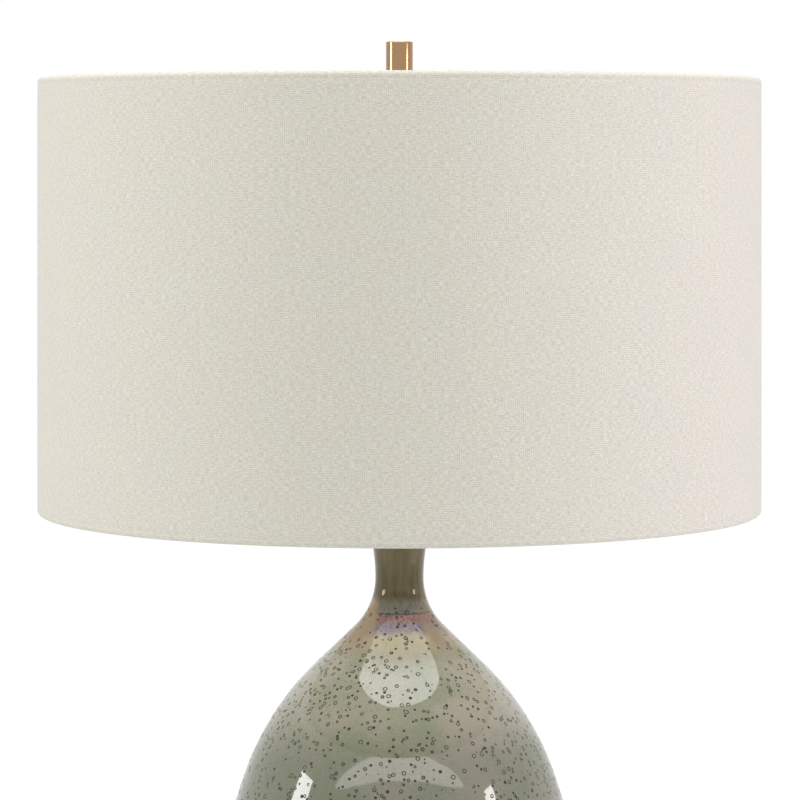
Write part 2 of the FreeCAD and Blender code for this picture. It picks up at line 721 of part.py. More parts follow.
def switch_pieces(core_radius, stem_z):
    """The stem that turns in the core and the key that is pushed onto it."""
    knob_face = -(SHELL_RADIUS + CAP_SHEET + KNOB_GAP)
    collar_end = knob_face - KNOB_COLLAR_LENGTH
    knob_end = knob_face - KNOB_LENGTH
    stem_start = -core_radius + STEM_DEPTH - RUNNING_GAP
    stem_end = collar_end - 4

    def at(y):
        return Vector(0, y, stem_z)

    stem = rod_between(STEM_RADIUS, at(stem_start), at(stem_end))
    half = KNOB_THICKNESS / 2
    outline = rounded(
        [
            (Vector(-KNOB_COLLAR_RADIUS, collar_end + 1, 0), 0),
            (Vector(KNOB_COLLAR_RADIUS, collar_end + 1, 0), 0),
            (Vector(KNOB_WIDTH / 2, collar_end - 4, 0), 3),
            (Vector(KNOB_WIDTH / 2, knob_end, 0), 4),
            (Vector(-KNOB_WIDTH / 2, knob_end, 0), 4),
            (Vector(-KNOB_WIDTH / 2, collar_end - 4, 0), 3),
        ]
    )
    paddle = Part.Face(Part.Wire(outline)).extrude(Vector(0, 0, KNOB_THICKNESS))
    paddle.translate(Vector(0, 0, stem_z - half))
    long_edges = [e for e in paddle.Edges if e.BoundBox.ZLength < 1e-6 and e.BoundBox.YMin < collar_end - 5]
    paddle = paddle.makeFillet(1.2, long_edges)
    collar = rod_between(KNOB_COLLAR_RADIUS, at(knob_face), at(collar_end))
    stem_hole = rod_between(STEM_RADIUS + GLUE_GAP, at(knob_face + 1), at(stem_end - GLUE_GAP))
    knob = collar.fuse(paddle).cut(stem_hole)
    return {"switch_stem": stem, "switch_knob": outward(knob.removeSplitter())}


# ---------------------------------------------------------------- bulb


def bulb_outline(inset, neck_low, arc_low):
    """The glass from neck to crown: a neck, a hollow curve and a ball, set in by the glass."""
    neck = BULB_NECK_RADIUS - inset
    ball = BULB_RADIUS - inset
    hollow = BULB_NECK_ARC + inset
    rise = math.sqrt((ball + hollow) ** 2 - (neck + hollow) ** 2)
    hollow_centre = rz(neck + hollow, arc_low)
    ball_centre = rz(0, arc_low + rise)
    meet = math.degrees(math.atan2(-rise, neck + hollow))
    return [
        line(rz(neck, neck_low), rz(neck, arc_low)),
        arc_about(hollow_centre, hollow, 180, 180 + meet),
        arc_about(ball_centre, ball, meet, 90),
    ]


def bulb_pieces(contact_top, thread_low):
    """Frosted glass, rolled screw cap, black glass insulator and solder tip."""
    tip_low = contact_top + SEAT_GAP
    tip_high = tip_low + BULB_TIP_HEIGHT
    cap_low = thread_low + THREAD_PITCH
    cap_ridge_high = cap_low + THREAD_TURNS * THREAD_PITCH
    cap_high = cap_ridge_high + BULB_COLLAR_HEIGHT
    cap = rolled_sheet(THREAD_ROOT_RADIUS, THREAD_SHEET, cap_low - 1, cap_low, THREAD_TURNS, cap_high)
    collar_outer = BULB_NECK_RADIUS + GLUE_GAP + THREAD_SHEET
    collar = tube(collar_outer, THREAD_ROOT_RADIUS - THREAD_SHEET, cap_ridge_high + 0.6, cap_high)
    glass_low = cap_ridge_high + 0.6 + THREAD_SHEET
    socket_for_glass = disc(BULB_NECK_RADIUS + GLUE_GAP, glass_low - GLUE_GAP, cap_high + 1)
    cap = cap.fuse(collar).cut(socket_for_glass).removeSplitter()
    arc_low = cap_high + BULB_NECK_RISE
    outer = bulb_outline(0, glass_low, arc_low)
    inner = bulb_outline(BULB_GLASS, glass_low, arc_low)
    closing = [line(start_of(outer[0]), start_of(inner[0])), line(end_of(outer[-1]), end_of(inner[-1]))]
    insulator_radius = THREAD_ROOT_RADIUS - THREAD_SHEET - GLUE_GAP
    insulator = turned_outline(
        [
            (0, tip_high),
            (BULB_TIP_RADIUS + 0.8, tip_high),
            (insulator_radius - 1, cap_low - 1 - GLUE_GAP),
            (insulator_radius, cap_low - 1 - GLUE_GAP),
            (insulator_radius, cap_low + 2),
            (0, cap_low + 2),
        ]
    )
    tip = turned_outline(
        [(0, tip_low), (BULB_TIP_RADIUS, tip_low, BULB_TIP_ROUND), (BULB_TIP_RADIUS, tip_high), (0, tip_high)]
    )
    return {
        "bulb_glass": turned(Part.sortEdges(outer + inner + closing)[0]),
        "bulb_screw_cap": cap,
        "bulb_insulator": insulator,
        "bulb_contact": tip,
    }


# ---------------------------------------------------------------- shade


class ShadeWall:
    """Places points on the shade's slightly tapered wall: u runs up it, w runs inward from its outside."""

    def __init__(self, top):
        taper = math.atan2(SHADE_BOTTOM_RADIUS - SHADE_TOP_RADIUS, SHADE_HEIGHT)
        self.bottom = rz(SHADE_BOTTOM_RADIUS, top - SHADE_HEIGHT)
        self.up = rz(-math.sin(taper), math.cos(taper))
        self.inward = rz(-math.cos(taper), -math.sin(taper))
        self.length = SHADE_HEIGHT / math.cos(taper)

    def at(self, u, w):
        return self.bottom + self.up * u + self.inward * w


def shade_fabric(wall):
    """The cloth: up the outside, rolled over both wire rings and turned in as a hem."""
    sheet = FABRIC_THICKNESS
    lining = sheet + 2 * GLUE_GAP + LINER_THICKNESS
    inner_roll = ROLL_RADIUS - sheet
    edges = []
    ends = []
    for from_edge in (lambda u: u, lambda u: wall.length - u):
        centre = from_edge(ROLL_RADIUS)
        inner_end = wall.at(centre, ROLL_RADIUS + inner_roll)
        outer_end = wall.at(centre, 2 * ROLL_RADIUS)
        outside = arc(wall.at(centre, 0), wall.at(from_edge(0), ROLL_RADIUS), outer_end)
        inside = arc(wall.at(centre, sheet), wall.at(from_edge(sheet), ROLL_RADIUS), inner_end)
        slope_end = from_edge(ROLL_RADIUS + HEM_SLOPE)
        hem_end = from_edge(HEM_DEPTH)
        hem = [
            outer_end,
            wall.at(slope_end, lining + sheet),
            wall.at(hem_end, lining + sheet),
            wall.at(hem_end, lining),
            wall.at(slope_end, lining),
            inner_end,
        ]
        edges += [outside, inside]
        edges += [line(a, b) for a, b in zip(hem, hem[1:])]
        ends.append((wall.at(centre, 0), wall.at(centre, sheet)))
    edges += [line(ends[0][0], ends[1][0]), line(ends[0][1], ends[1][1])]
    return turned(Part.sortEdges(edges)[0])


def shade_ring(wall, u):
    """A wire ring inside one of the rolled edges."""
    centre = wall.at(u, ROLL_RADIUS)
    return Part.makeTorus(centre.x, ROLL_RADIUS - FABRIC_THICKNESS - RING_GAP, Vector(0, 0, centre.z))


def spider_arm(ring_centre, hub_mid, radius, angle, start):
    """One wire from the hub out to the top ring, level and then rising."""
    level_end = ring_centre.x - ARM_RISE_LENGTH
    path = rounded(
        [(rz(start, hub_mid), 0), (rz(level_end, hub_mid), ARM_BEND), (ring_centre, 0)],
        closed=False,
    )
    arm = swept(path, radius)
    arm.rotate(Vector(), Vector(0, 0, 1), angle)
    return arm


def shade_pieces(seat):
    """Hub, arms, rings, stiff liner and cloth. Returns the pieces and the height of the hub's top."""
    hub_low = seat + SEAT_GAP
    hub_top = hub_low + HUB_THICKNESS
    wall = ShadeWall(hub_top + SPIDER_DROP)
    hub = tube(HUB_RADIUS, STUD_RADIUS + RUNNING_GAP, hub_low, hub_top)
    top_ring = shade_ring(wall, wall.length - ROLL_RADIUS)
    ring_centre = wall.at(wall.length - ROLL_RADIUS, ROLL_RADIUS)
    hub_mid = hub_low + HUB_THICKNESS / 2
    cloth = shade_fabric(wall)
    arms = []
    for i in range(ARM_COUNT):
        angle = 90 + i * 360 / ARM_COUNT
        arm = spider_arm(ring_centre, hub_mid, ARM_WIRE_RADIUS, angle, HUB_RADIUS - 2)
        arms.append(arm.cut(disc(HUB_RADIUS, hub_low, hub_top)).cut(top_ring).Solids[0])
        notch = spider_arm(ring_centre, hub_mid, ARM_WIRE_RADIUS + ARM_NOTCH_PLAY, angle, HUB_RADIUS)
        cloth = cloth.cut(notch)
    ring_radius = ROLL_RADIUS - FABRIC_THICKNESS
    liner_face = FABRIC_THICKNESS + GLUE_GAP + LINER_THICKNESS
    beside_ring = math.sqrt(ring_radius**2 - (ROLL_RADIUS - liner_face) ** 2)
    liner_end = ROLL_RADIUS + beside_ring + GLUE_GAP
    liner = turned(
        rounded(
            [
                (wall.at(liner_end, FABRIC_THICKNESS + GLUE_GAP), 0),
                (wall.at(wall.length - liner_end, FABRIC_THICKNESS + GLUE_GAP), 0),
                (wall.at(wall.length - liner_end, liner_face), 0),
                (wall.at(liner_end, liner_face), 0),
            ]
        )
    )
    return {
        "spider_hub": hub,
        "spider_arms": Part.makeCompound(arms),
        "shade_top_ring": top_ring,
        "shade_bottom_ring": shade_ring(wall, ROLL_RADIUS),
        "shade_liner": liner,
        "shade_fabric": cloth,
    }, hub_top


def finial(low):
    """A plain turned cylinder with a blind hole for the stud."""
    high = low + FINIAL_HEIGHT
    bore = STUD_RADIUS + RUNNING_GAP
    depth = STUD_LENGTH - HUB_THICKNESS + FINIAL_BORE_SPARE
    return turned_outline(
        [
            (bore, low),
            (FINIAL_RADIUS, low, FINIAL_EDGE),
            (FINIAL_RADIUS, high, FINIAL_EDGE),
            (0, high),
            (0, low + depth),
            (bore, low + depth),
        ]
    )


# ---------------------------------------------------------------- the whole lamp


def build():
    """Every piece of the lamp by name."""
    outline = JarOutline()
    pieces, pipe_low = base_pieces()
    pieces.update(jar_pieces(outline))
    neck, neck_top = neck_pieces(outline)
    pieces.update(neck)
    seat = neck_top + HARP_HEIGHT
    pieces.update(harp_pieces(neck_top, seat))
    socket_low = neck_top + SADDLE_SHEET
    socket, contact_top, thread_low = socket_pieces(socket_low)
    pieces.update(socket)
    pipe_high = socket_low + BUSH_HEIGHT + CAP_SHEET + PIPE_STICK_OUT
    pieces["lamp_pipe"] = tube(PIPE_RADIUS, PIPE_BORE_RADIUS, pipe_low, pipe_high)
    pieces.update(bulb_pieces(contact_top, thread_low))
    shade, hub_top = shade_pieces(seat)
    pieces.update(shade)
    pieces["finial"] = finial(hub_top + SEAT_GAP)
    return pieces


def write(pieces):
    """One STEP file for each piece, and a line on its size."""
    os.makedirs("parts", exist_ok=True)
    for name, shape in sorted(pieces.items()):
        size = shape.BoundBox
        valid = shape.isValid() and all(s.isClosed() and s.Volume > 0 for s in shape.Solids)
        print(
            f"{name:24s} solids {len(shape.Solids)}  valid {valid}  z {size.ZMin:7.2f} to {size.ZMax:7.2f}"
            f"  volume {shape.Volume / 1000:9.3f} cm3"
        )
        shape.exportStep(os.path.join("parts", name + ".step"))


write(build())
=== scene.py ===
"""Looks of a table lamp: a glazed egg-shaped jar on a round brass base, with a linen drum shade.

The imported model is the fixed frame. This file adds the cloth of the shade, the glazed jar and the
turned finial as finer pieces, gives every piece its finish, and sets up the studio. All of it is in
metres, in the model's frame: +Z is up, and the front of the lamp looks to -Y.
"""

import json
import logging
import math
from dataclasses import dataclass
from enum import Enum
from typing import Sequence, Union

import bpy
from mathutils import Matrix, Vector

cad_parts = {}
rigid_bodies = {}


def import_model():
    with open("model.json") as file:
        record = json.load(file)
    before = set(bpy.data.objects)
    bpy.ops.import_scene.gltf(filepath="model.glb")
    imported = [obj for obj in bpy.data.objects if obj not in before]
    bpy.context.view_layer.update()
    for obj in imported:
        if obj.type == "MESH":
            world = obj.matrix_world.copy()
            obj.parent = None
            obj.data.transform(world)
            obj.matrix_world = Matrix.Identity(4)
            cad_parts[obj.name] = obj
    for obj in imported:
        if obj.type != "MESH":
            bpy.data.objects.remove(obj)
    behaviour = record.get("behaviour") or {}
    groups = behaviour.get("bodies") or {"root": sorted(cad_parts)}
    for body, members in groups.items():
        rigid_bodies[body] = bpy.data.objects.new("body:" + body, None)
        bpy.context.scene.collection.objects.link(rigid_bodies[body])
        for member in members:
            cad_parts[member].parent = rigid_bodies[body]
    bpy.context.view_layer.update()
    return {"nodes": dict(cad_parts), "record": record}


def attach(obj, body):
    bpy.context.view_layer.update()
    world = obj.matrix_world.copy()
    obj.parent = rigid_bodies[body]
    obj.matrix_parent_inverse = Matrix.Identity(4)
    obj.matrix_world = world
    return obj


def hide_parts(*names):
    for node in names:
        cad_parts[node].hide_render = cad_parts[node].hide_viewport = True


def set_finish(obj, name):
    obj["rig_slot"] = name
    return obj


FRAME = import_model()

LOG = logging.getLogger("lamp")
MM = 0.001
FULL_TURN = 2 * math.pi
SAME_PLACE = MM / 1000
CLIP_END = 50.0

Point = tuple[float, float]
Colour = tuple[float, float, float]
Socket = bpy.types.NodeSocket
Value = Union[float, Colour, Socket]
Stops = tuple[tuple[float, Colour], ...]


# ---------------------------------------------------------------- modelling by hand


def clear_selection() -> None:
    """Leaves nothing selected, so that the next operator acts on its own piece only."""
    bpy.ops.object.select_all(action="DESELECT")
    bpy.context.view_layer.objects.active = None


def on_arc(centre: Point, radius: float, angle: float) -> Point:
    """The point of an arc at an angle, in radians, from +r towards +z."""
    return centre[0] + radius * math.cos(angle), centre[1] + radius * math.sin(angle)


def arc_points(centre: Point, radius: float, start: float, end: float, count: int) -> list[Point]:
    """Points along an arc of an outline.

    Args:
        centre: the arc's centre as (radius from the axis, height).
        radius: the arc's own radius.
        start: first angle in degrees, from +r towards +z.
        end: last angle in degrees.
        count: how many points, ends included.

    Returns:
        The points in order, as (radius from the axis, height).
    """
    steps = [math.radians(start + (end - start) * i / (count - 1)) for i in range(count)]
    return [on_arc(centre, radius, angle) for angle in steps]


@dataclass
class Turning:
    """A piece that is turned about the lamp's axis from one outline.

    Attributes:
        name: the piece's name.
        outline: corners of the outline as (radius, height).
        steps: how many facets there are round the axis.
        closed: whether the outline's end joins its start.
        crease: angle in degrees above which an edge stays crisp.
    """

    name: str
    outline: Sequence[Point]
    steps: int = 128
    closed: bool = True
    crease: float = 35.0

    def build(self) -> bpy.types.Object:
        """Draws the outline in edit mode, spins it once round, and closes the seam.

        Returns:
            The turned piece, smooth but for its creases, and without a map.
        """
        clear_selection()
        radius, height = self.outline[0]
        bpy.ops.mesh.primitive_plane_add(size=MM, location=(radius, 0, height))
        piece = bpy.context.object
        piece.name = self.name
        bpy.ops.object.transform_apply(location=True, rotation=True, scale=True)
        bpy.ops.object.mode_set(mode="EDIT")
        bpy.ops.mesh.select_all(action="SELECT")
        bpy.ops.mesh.merge(type="CENTER")
        for (r0, z0), (r1, z1) in zip(self.outline, self.outline[1:]):
            step = {"value": (r1 - r0, 0, z1 - z0)}
            bpy.ops.mesh.extrude_region_move(TRANSFORM_OT_translate=step)
        if self.closed:
            self._join_ends(piece)
        bpy.ops.mesh.select_all(action="SELECT")
        bpy.ops.mesh.spin(steps=self.steps, angle=FULL_TURN, center=(0, 0, 0), axis=(0, 0, 1))
        bpy.ops.mesh.select_all(action="SELECT")
        bpy.ops.mesh.remove_doubles(threshold=SAME_PLACE)
        bpy.ops.mesh.normals_make_consistent(inside=False)
        bpy.ops.object.mode_set(mode="OBJECT")
        while piece.data.uv_layers:
            piece.data.uv_layers.remove(piece.data.uv_layers[0])
        bpy.ops.object.shade_smooth_by_angle(angle=math.radians(self.crease))
        return piece

    def _join_ends(self, piece: bpy.types.Object) -> None:
        """Joins the outline's last corner to its first.

        Args:
            piece: the outline, in edit mode.
        """
        bpy.ops.mesh.select_all(action="DESELECT")
        bpy.ops.object.mode_set(mode="OBJECT")
        vertices = piece.data.vertices
        vertices[0].select = True
        vertices[len(vertices) - 1].select = True
        bpy.ops.object.mode_set(mode="EDIT")
        bpy.ops.mesh.edge_face_add()


# ---------------------------------------------------------------- recipes for finishes


class Recipe:
    """One node material in the making, with a short call for each kind of node."""

    def __init__(self, name: str) -> None:
        """Starts a material with a single shader on its output."""
        self.material = bpy.data.materials.new(name)
        self.material.use_nodes = True
        self.tree = self.material.node_tree
        self.tree.nodes.clear()
        self.shader = self.node("BsdfPrincipled")
        self.output = self.node("OutputMaterial")
        self.finish_with(self.shader.outputs[0])

    def node(self, kind: str, **settings: object) -> bpy.types.Node:
        """Adds a shader node and sets its own properties."""
        made = self.tree.nodes.new("ShaderNode" + kind)
        for key, value in settings.items():
            setattr(made, key, value)
        return made

    def feed(self, socket: Socket, value: Value) -> None:
        """Links a socket to another one, or writes a plain value on it."""
        if isinstance(value, Socket):
            self.tree.links.new(value, socket)
        elif isinstance(value, tuple) and len(socket.default_value) == 4:
            socket.default_value = (*value, 1.0)
        else:
            socket.default_value = value

    def wire(self, node: bpy.types.Node, *values: Value) -> Socket:
        """Feeds a node's inputs in their order, and gives its first output."""
        for socket, value in zip(node.inputs, values):
            self.feed(socket, value)
        return node.outputs[0]

    def finish_with(self, shader: Socket) -> None:
        """Makes a shader the one that shows."""
        self.tree.links.new(shader, self.output.inputs["Surface"])

    def surface(self, **values: Value) -> None:
        """Sets the shader's sockets. An underscore in a name stands for a space."""
        for key, value in values.items():
            self.feed(self.shader.inputs[key.replace("_", " ")], value)

    def place(self, stretch: Value = (1.0, 1.0, 1.0), uv: bool = False) -> Socket:
        """The point on the piece or on its own map, in metres, multiplied along X, Y and Z."""
        coordinates = self.node("TexCoord")
        mapping = self.node("Mapping")
        self.feed(mapping.inputs["Vector"], coordinates.outputs["UV" if uv else "Object"])
        self.feed(mapping.inputs["Scale"], stretch)
        return mapping.outputs[0]

    def part_of(self, vector: Socket, axis: str) -> Socket:
        """One component of a vector: X, Y or Z."""
        split = self.node("SeparateXYZ")
        self.feed(split.inputs[0], vector)
        return split.outputs[axis]

    def joined(self, x: Value, y: Value, z: Value) -> Socket:
        """A vector from three numbers."""
        return self.wire(self.node("CombineXYZ"), x, y, z)

    def math(self, kind: str, first: Value, second: Value = 0.0, clamp: bool = False) -> Socket:
        """One step of arithmetic by its name in Blender, held to 0..1 where clamp is set."""
        return self.wire(self.node("Math", operation=kind, use_clamp=clamp), first, second)

    def times(self, first: Value, second: Value) -> Socket:
        """Two numbers multiplied."""
        return self.math("MULTIPLY", first, second)

    def plus(self, first: Value, second: Value, clamp: bool = False) -> Socket:
        """Two numbers added, held to 0..1 where clamp is set."""
        return self.math("ADD", first, second, clamp)

    def minus(self, first: Value, second: Value) -> Socket:
        """The second number taken from the first."""
        return self.math("SUBTRACT", first, second)

    def swing(self, value: Value, amount: float) -> Socket:
        """A value of 0..1 turned into a swing of that amount about 0."""
        return self.times(self.minus(value, 0.5), amount)

    def from_axis(self, x: Value, y: Value) -> Socket:
        """The distance from the lamp's axis."""
        return self.math("SQRT", self.plus(self.times(x, x), self.times(y, y)))

    def span(self, value: Value, low: float, high: float, smooth: bool = True) -> Socket:
        """Turns low..high into 0..1, held at both ends.

        Args:
            value: the number to turn.
            low: what becomes 0.
            high: what becomes 1. It may be below low.
            smooth: whether the ends are eased.

        Returns:
            The number between 0 and 1.
        """
        kind = "SMOOTHSTEP" if smooth else "LINEAR"
        return self.wire(self.node("MapRange", interpolation_type=kind), value, low, high)

    def noise(
        self, vector: Value, scale: float, detail: float = 2.0, rough: float = 0.5
    ) -> Socket:
        """Soft random variation between 0 and 1, with so many patches to a metre."""
        texture = self.node("TexNoise")
        self.feed(texture.inputs["Vector"], vector)
        self.feed(texture.inputs["Scale"], scale)
        self.feed(texture.inputs["Detail"], detail)
        self.feed(texture.inputs["Roughness"], rough)
        return texture.outputs[0]

    def cells(self, vector: Value, scale: float) -> bpy.types.Node:
        """Scattered points: the node gives the nearest one's distance and random colour."""
        texture = self.node("TexVoronoi")
        self.feed(texture.inputs["Vector"], vector)
        self.feed(texture.inputs["Scale"], scale)
        return texture

    def ramp(self, value: Value, stops: Stops) -> Socket:
        """Colours along 0..1, blended between the stops."""
        table = self.node("ValToRGB")
        elements = table.color_ramp.elements
        while len(elements) < len(stops):
            elements.new(1.0)
        for element, (position, colour) in zip(elements, stops):
            element.position = position
            element.color = (*colour, 1.0)
        self.feed(table.inputs[0], value)
        return table.outputs[0]

    def mix(self, factor: Value, first: Value, second: Value, kind: str = "MIX") -> Socket:
        """Blends two colours in the way of that name, with so much of the second."""
        blend = self.node("Mix", data_type="RGBA", blend_type=kind)
        colour_inputs, colour_output = (0, 6, 7), 2
        for index, value in zip(colour_inputs, (factor, first, second)):
            self.feed(blend.inputs[index], value)
        return blend.outputs[colour_output]

    def relief(self, height: Value, depth: float) -> None:
        """Raises the surface by up to the depth, where the height is 1."""
        bump = self.node("Bump")
        self.feed(bump.inputs["Strength"], 1.0)
        self.feed(bump.inputs["Distance"], depth)
        self.feed(bump.inputs["Height"], height)
        self.surface(Normal=bump.outputs[0])


class Grain(Enum):
    """How the tool marks of a metal piece run."""

    TURNED = "rings about the lamp's axis"
    DRAWN = "lines along the wire or sheet"
    CAST = "a sandy skin"


@dataclass(frozen=True)
class Metal:
    """A metal finish with tool marks, handling marks and a little tarnish.

    Attributes:
        tarnish: its colour where it has darkened.
        roughness: the middle of its roughness.
        grain: how its tool marks run.
        most_tarnish: how much of the tarnish shows at most.
        handling: how far the roughness swings where hands have been.
    """

    name: str
    colour: Colour
    tarnish: Colour
    roughness: float
    grain: Grain = Grain.DRAWN
    most_tarnish: float = 0.55
    handling: float = 0.16

    def _marks(self, recipe: Recipe, place: Value) -> Socket:
        """The tool marks, between 0 and 1."""
        if self.grain is Grain.TURNED:
            x, y, z = (recipe.part_of(place, axis) for axis in "XYZ")
            return recipe.noise(recipe.joined(recipe.from_axis(x, y), 0.0, z), 2600.0, 1.0)
        if self.grain is Grain.DRAWN:
            return recipe.noise(recipe.place((1.0, 1.0, 0.04)), 2200.0, 1.0)
        return recipe.noise(place, 700.0, 4.0, 0.7)

    def material(self) -> bpy.types.Material:
        """Builds the finish."""
        recipe = Recipe(self.name)
        place = recipe.place()
        marks = self._marks(recipe, place)
        handling = recipe.noise(place, 60.0, 4.0, 0.65)
        stain = recipe.times(recipe.span(handling, 0.5, 0.78), self.most_tarnish)
        rough = recipe.plus(recipe.times(marks, 0.07), recipe.swing(handling, self.handling))
        recipe.surface(
            Base_Color=recipe.mix(stain, self.colour, self.tarnish),
            Metallic=1.0,
            Roughness=recipe.plus(rough, self.roughness, clamp=True),
        )
        recipe.relief(marks, 0.3 * MM if self.grain is Grain.CAST else 0.02 * MM)
        return recipe.material


@dataclass(frozen=True)
class Plain:
    """A dull or glossy material that isn't metal: plastic, rubber, paper, felt or glass.

    Attributes:
        colour: its colour on the crests of its grain.
        shadow: its colour between them.
        roughness: the middle of its roughness.
        grain_size, relief: how wide a grain is and how far it stands up, in millimetres.
    """

    name: str
    colour: Colour
    shadow: Colour
    roughness: float
    grain_size: float = 1.0
    relief: float = 0.05
    sheen: float = 0.0
    coat: float = 0.0

    def material(self) -> bpy.types.Material:
        """Builds the finish."""
        recipe = Recipe(self.name)
        place = recipe.place()
        grain = recipe.noise(place, 1.0 / (self.grain_size * MM), 3.0, 0.6)
        broad = recipe.noise(place, 35.0, 3.0)
        tone = recipe.plus(recipe.times(grain, 0.6), recipe.times(broad, 0.4))
        recipe.surface(
            Base_Color=recipe.mix(recipe.span(tone, 0.35, 0.65), self.shadow, self.colour),
            Roughness=recipe.plus(recipe.swing(broad, 0.1), self.roughness, clamp=True),
            Sheen_Weight=self.sheen,
            Coat_Weight=self.coat,
        )
        recipe.relief(grain, self.relief * MM)
        return recipe.material


@dataclass(frozen=True)
class Linen:
    """Off-white plain weave with uneven threads and a few dark slubs, on the cloth's own map.

    Attributes:
        painted_gap_shade: the colour of the gaps between the threads, as painted shade in the
            weave's low places.
        stretch: how much longer than wide a thick or slender place of a thread is.
        rib: how far apart the even lines are.
        rib_share: how much of the weave's height the even lines make.
        waver: how far the even lines wave, as an angle.
        slub_cells: how many cells that may hold a slub there are to a metre.
        depth: how deep the weave is.
    """

    name: str = "linen_weave"
    colour: Colour = (0.75, 0.735, 0.632)
    painted_gap_shade: Colour = (0.523, 0.510, 0.421)
    fleck: Colour = (0.22, 0.20, 0.15)
    thread: float = 0.40 * MM
    stretch: float = 8.0
    rib: float = 1.27 * MM
    rib_share: float = 0.09
    waver: float = 7.0
    slub_cells: float = 42.0
    depth: float = 0.12 * MM

    def material(self) -> bpy.types.Material:
        """Builds the cloth."""
        recipe = Recipe(self.name)
        flat = recipe.place(uv=True)
        height = self._height(recipe, flat)
        # Painted shade: the low places of the weave get the darker colour.
        colour = recipe.mix(recipe.span(height, 0.36, 0.64), self.painted_gap_shade, self.colour)
        cloud = recipe.span(recipe.noise(flat, 26.0, 3.0), 0.35, 0.7)
        warm = recipe.mix(cloud, (0.985, 0.985, 0.99), (1.0, 1.0, 0.985))
        colour = recipe.mix(1.0, colour, warm, "MULTIPLY")
        colour = recipe.mix(recipe.times(self._slubs(recipe), 0.8), colour, self.fleck)
        recipe.surface(
            Base_Color=colour, Roughness=0.92, Sheen_Weight=0.12, Specular_IOR_Level=0.25
        )
        recipe.relief(height, self.depth)
        return recipe.material

    def _height(self, recipe: Recipe, flat: Value) -> Socket:
        """The height of the weave, between 0 and 1."""
        across, along = 1.0 / self.thread, 1.0 / (self.stretch * self.thread)
        weft = recipe.noise(recipe.place((along, across, 1.0), uv=True), 1.0, 2.0, 0.6)
        warp = recipe.noise(recipe.place((across, along, 1.0), uv=True), 1.0, 2.0, 0.6)
        patches = recipe.span(recipe.noise(flat, 45.0, 3.0), 0.40, 0.62)
        ribs = recipe.mix(patches, self._ribs(recipe, flat, "Y"), self._ribs(recipe, flat, "X"))
        threads = recipe.plus(recipe.times(weft, 0.60), recipe.times(warp, 0.40))
        threads = recipe.times(threads, 1.0 - self.rib_share)
        return recipe.plus(threads, recipe.times(ribs, self.rib_share))

    def _ribs(self, recipe: Recipe, flat: Value, axis: str) -> Socket:
        """Even lines of thread, a little wavy, between 0 and 1."""
        turns = recipe.times(recipe.part_of(flat, axis), FULL_TURN / self.rib)
        waver = recipe.times(recipe.noise(flat, 90.0, 2.0), self.waver)
        wave = recipe.math("SINE", recipe.plus(turns, waver))
        return recipe.plus(recipe.times(wave, 0.5), 0.5)

    def _slubs(self, recipe: Recipe) -> Socket:
        """1 on a slub. Few of the cells have one."""
        slub = recipe.cells(recipe.place((1.0, 1.6, 1.0), uv=True), self.slub_cells)
        keep = recipe.span(recipe.part_of(slub.outputs["Color"], "X"), 0.88, 0.89)
        return recipe.times(recipe.span(slub.outputs["Distance"], 0.034, 0.018), keep)


# The gloss and the glaze from the body (0) up to the neck (1).
LUSTRE_STOPS: Stops = (
    (0.00, (1.0, 1.0, 1.0)),
    (0.20, (0.66, 0.65, 0.62)),
    (0.45, (0.42, 0.38, 0.30)),
    (0.62, (0.26, 0.23, 0.23)),
    (0.72, (0.22, 0.18, 0.22)),
    (0.80, (0.30, 0.17, 0.16)),
    (0.87, (0.46, 0.27, 0.22)),
    (0.905, (0.20, 0.24, 0.24)),
    (0.925, (0.80, 0.72, 0.55)),
    (1.00, (0.72, 0.60, 0.36)),
)
# Band colours from the body up to the neck: partly the glaze's own colours, partly painted
# reflection of the shade's inside; the dark stop at 0.875 is a painted dark reflection line.
BAND_STOPS: Stops = (
    (0.00, (0.19, 0.185, 0.125)),
    (0.22, (0.30, 0.27, 0.165)),
    (0.45, (0.36, 0.315, 0.20)),
    (0.57, (0.225, 0.195, 0.185)),
    (0.67, (0.200, 0.170, 0.185)),
    (0.75, (0.24, 0.135, 0.115)),
    (0.85, (0.30, 0.165, 0.13)),
    (0.875, (0.045, 0.060, 0.058)),
    (0.90, (0.16, 0.160, 0.125)),
    (1.00, (0.145, 0.140, 0.100)),
)


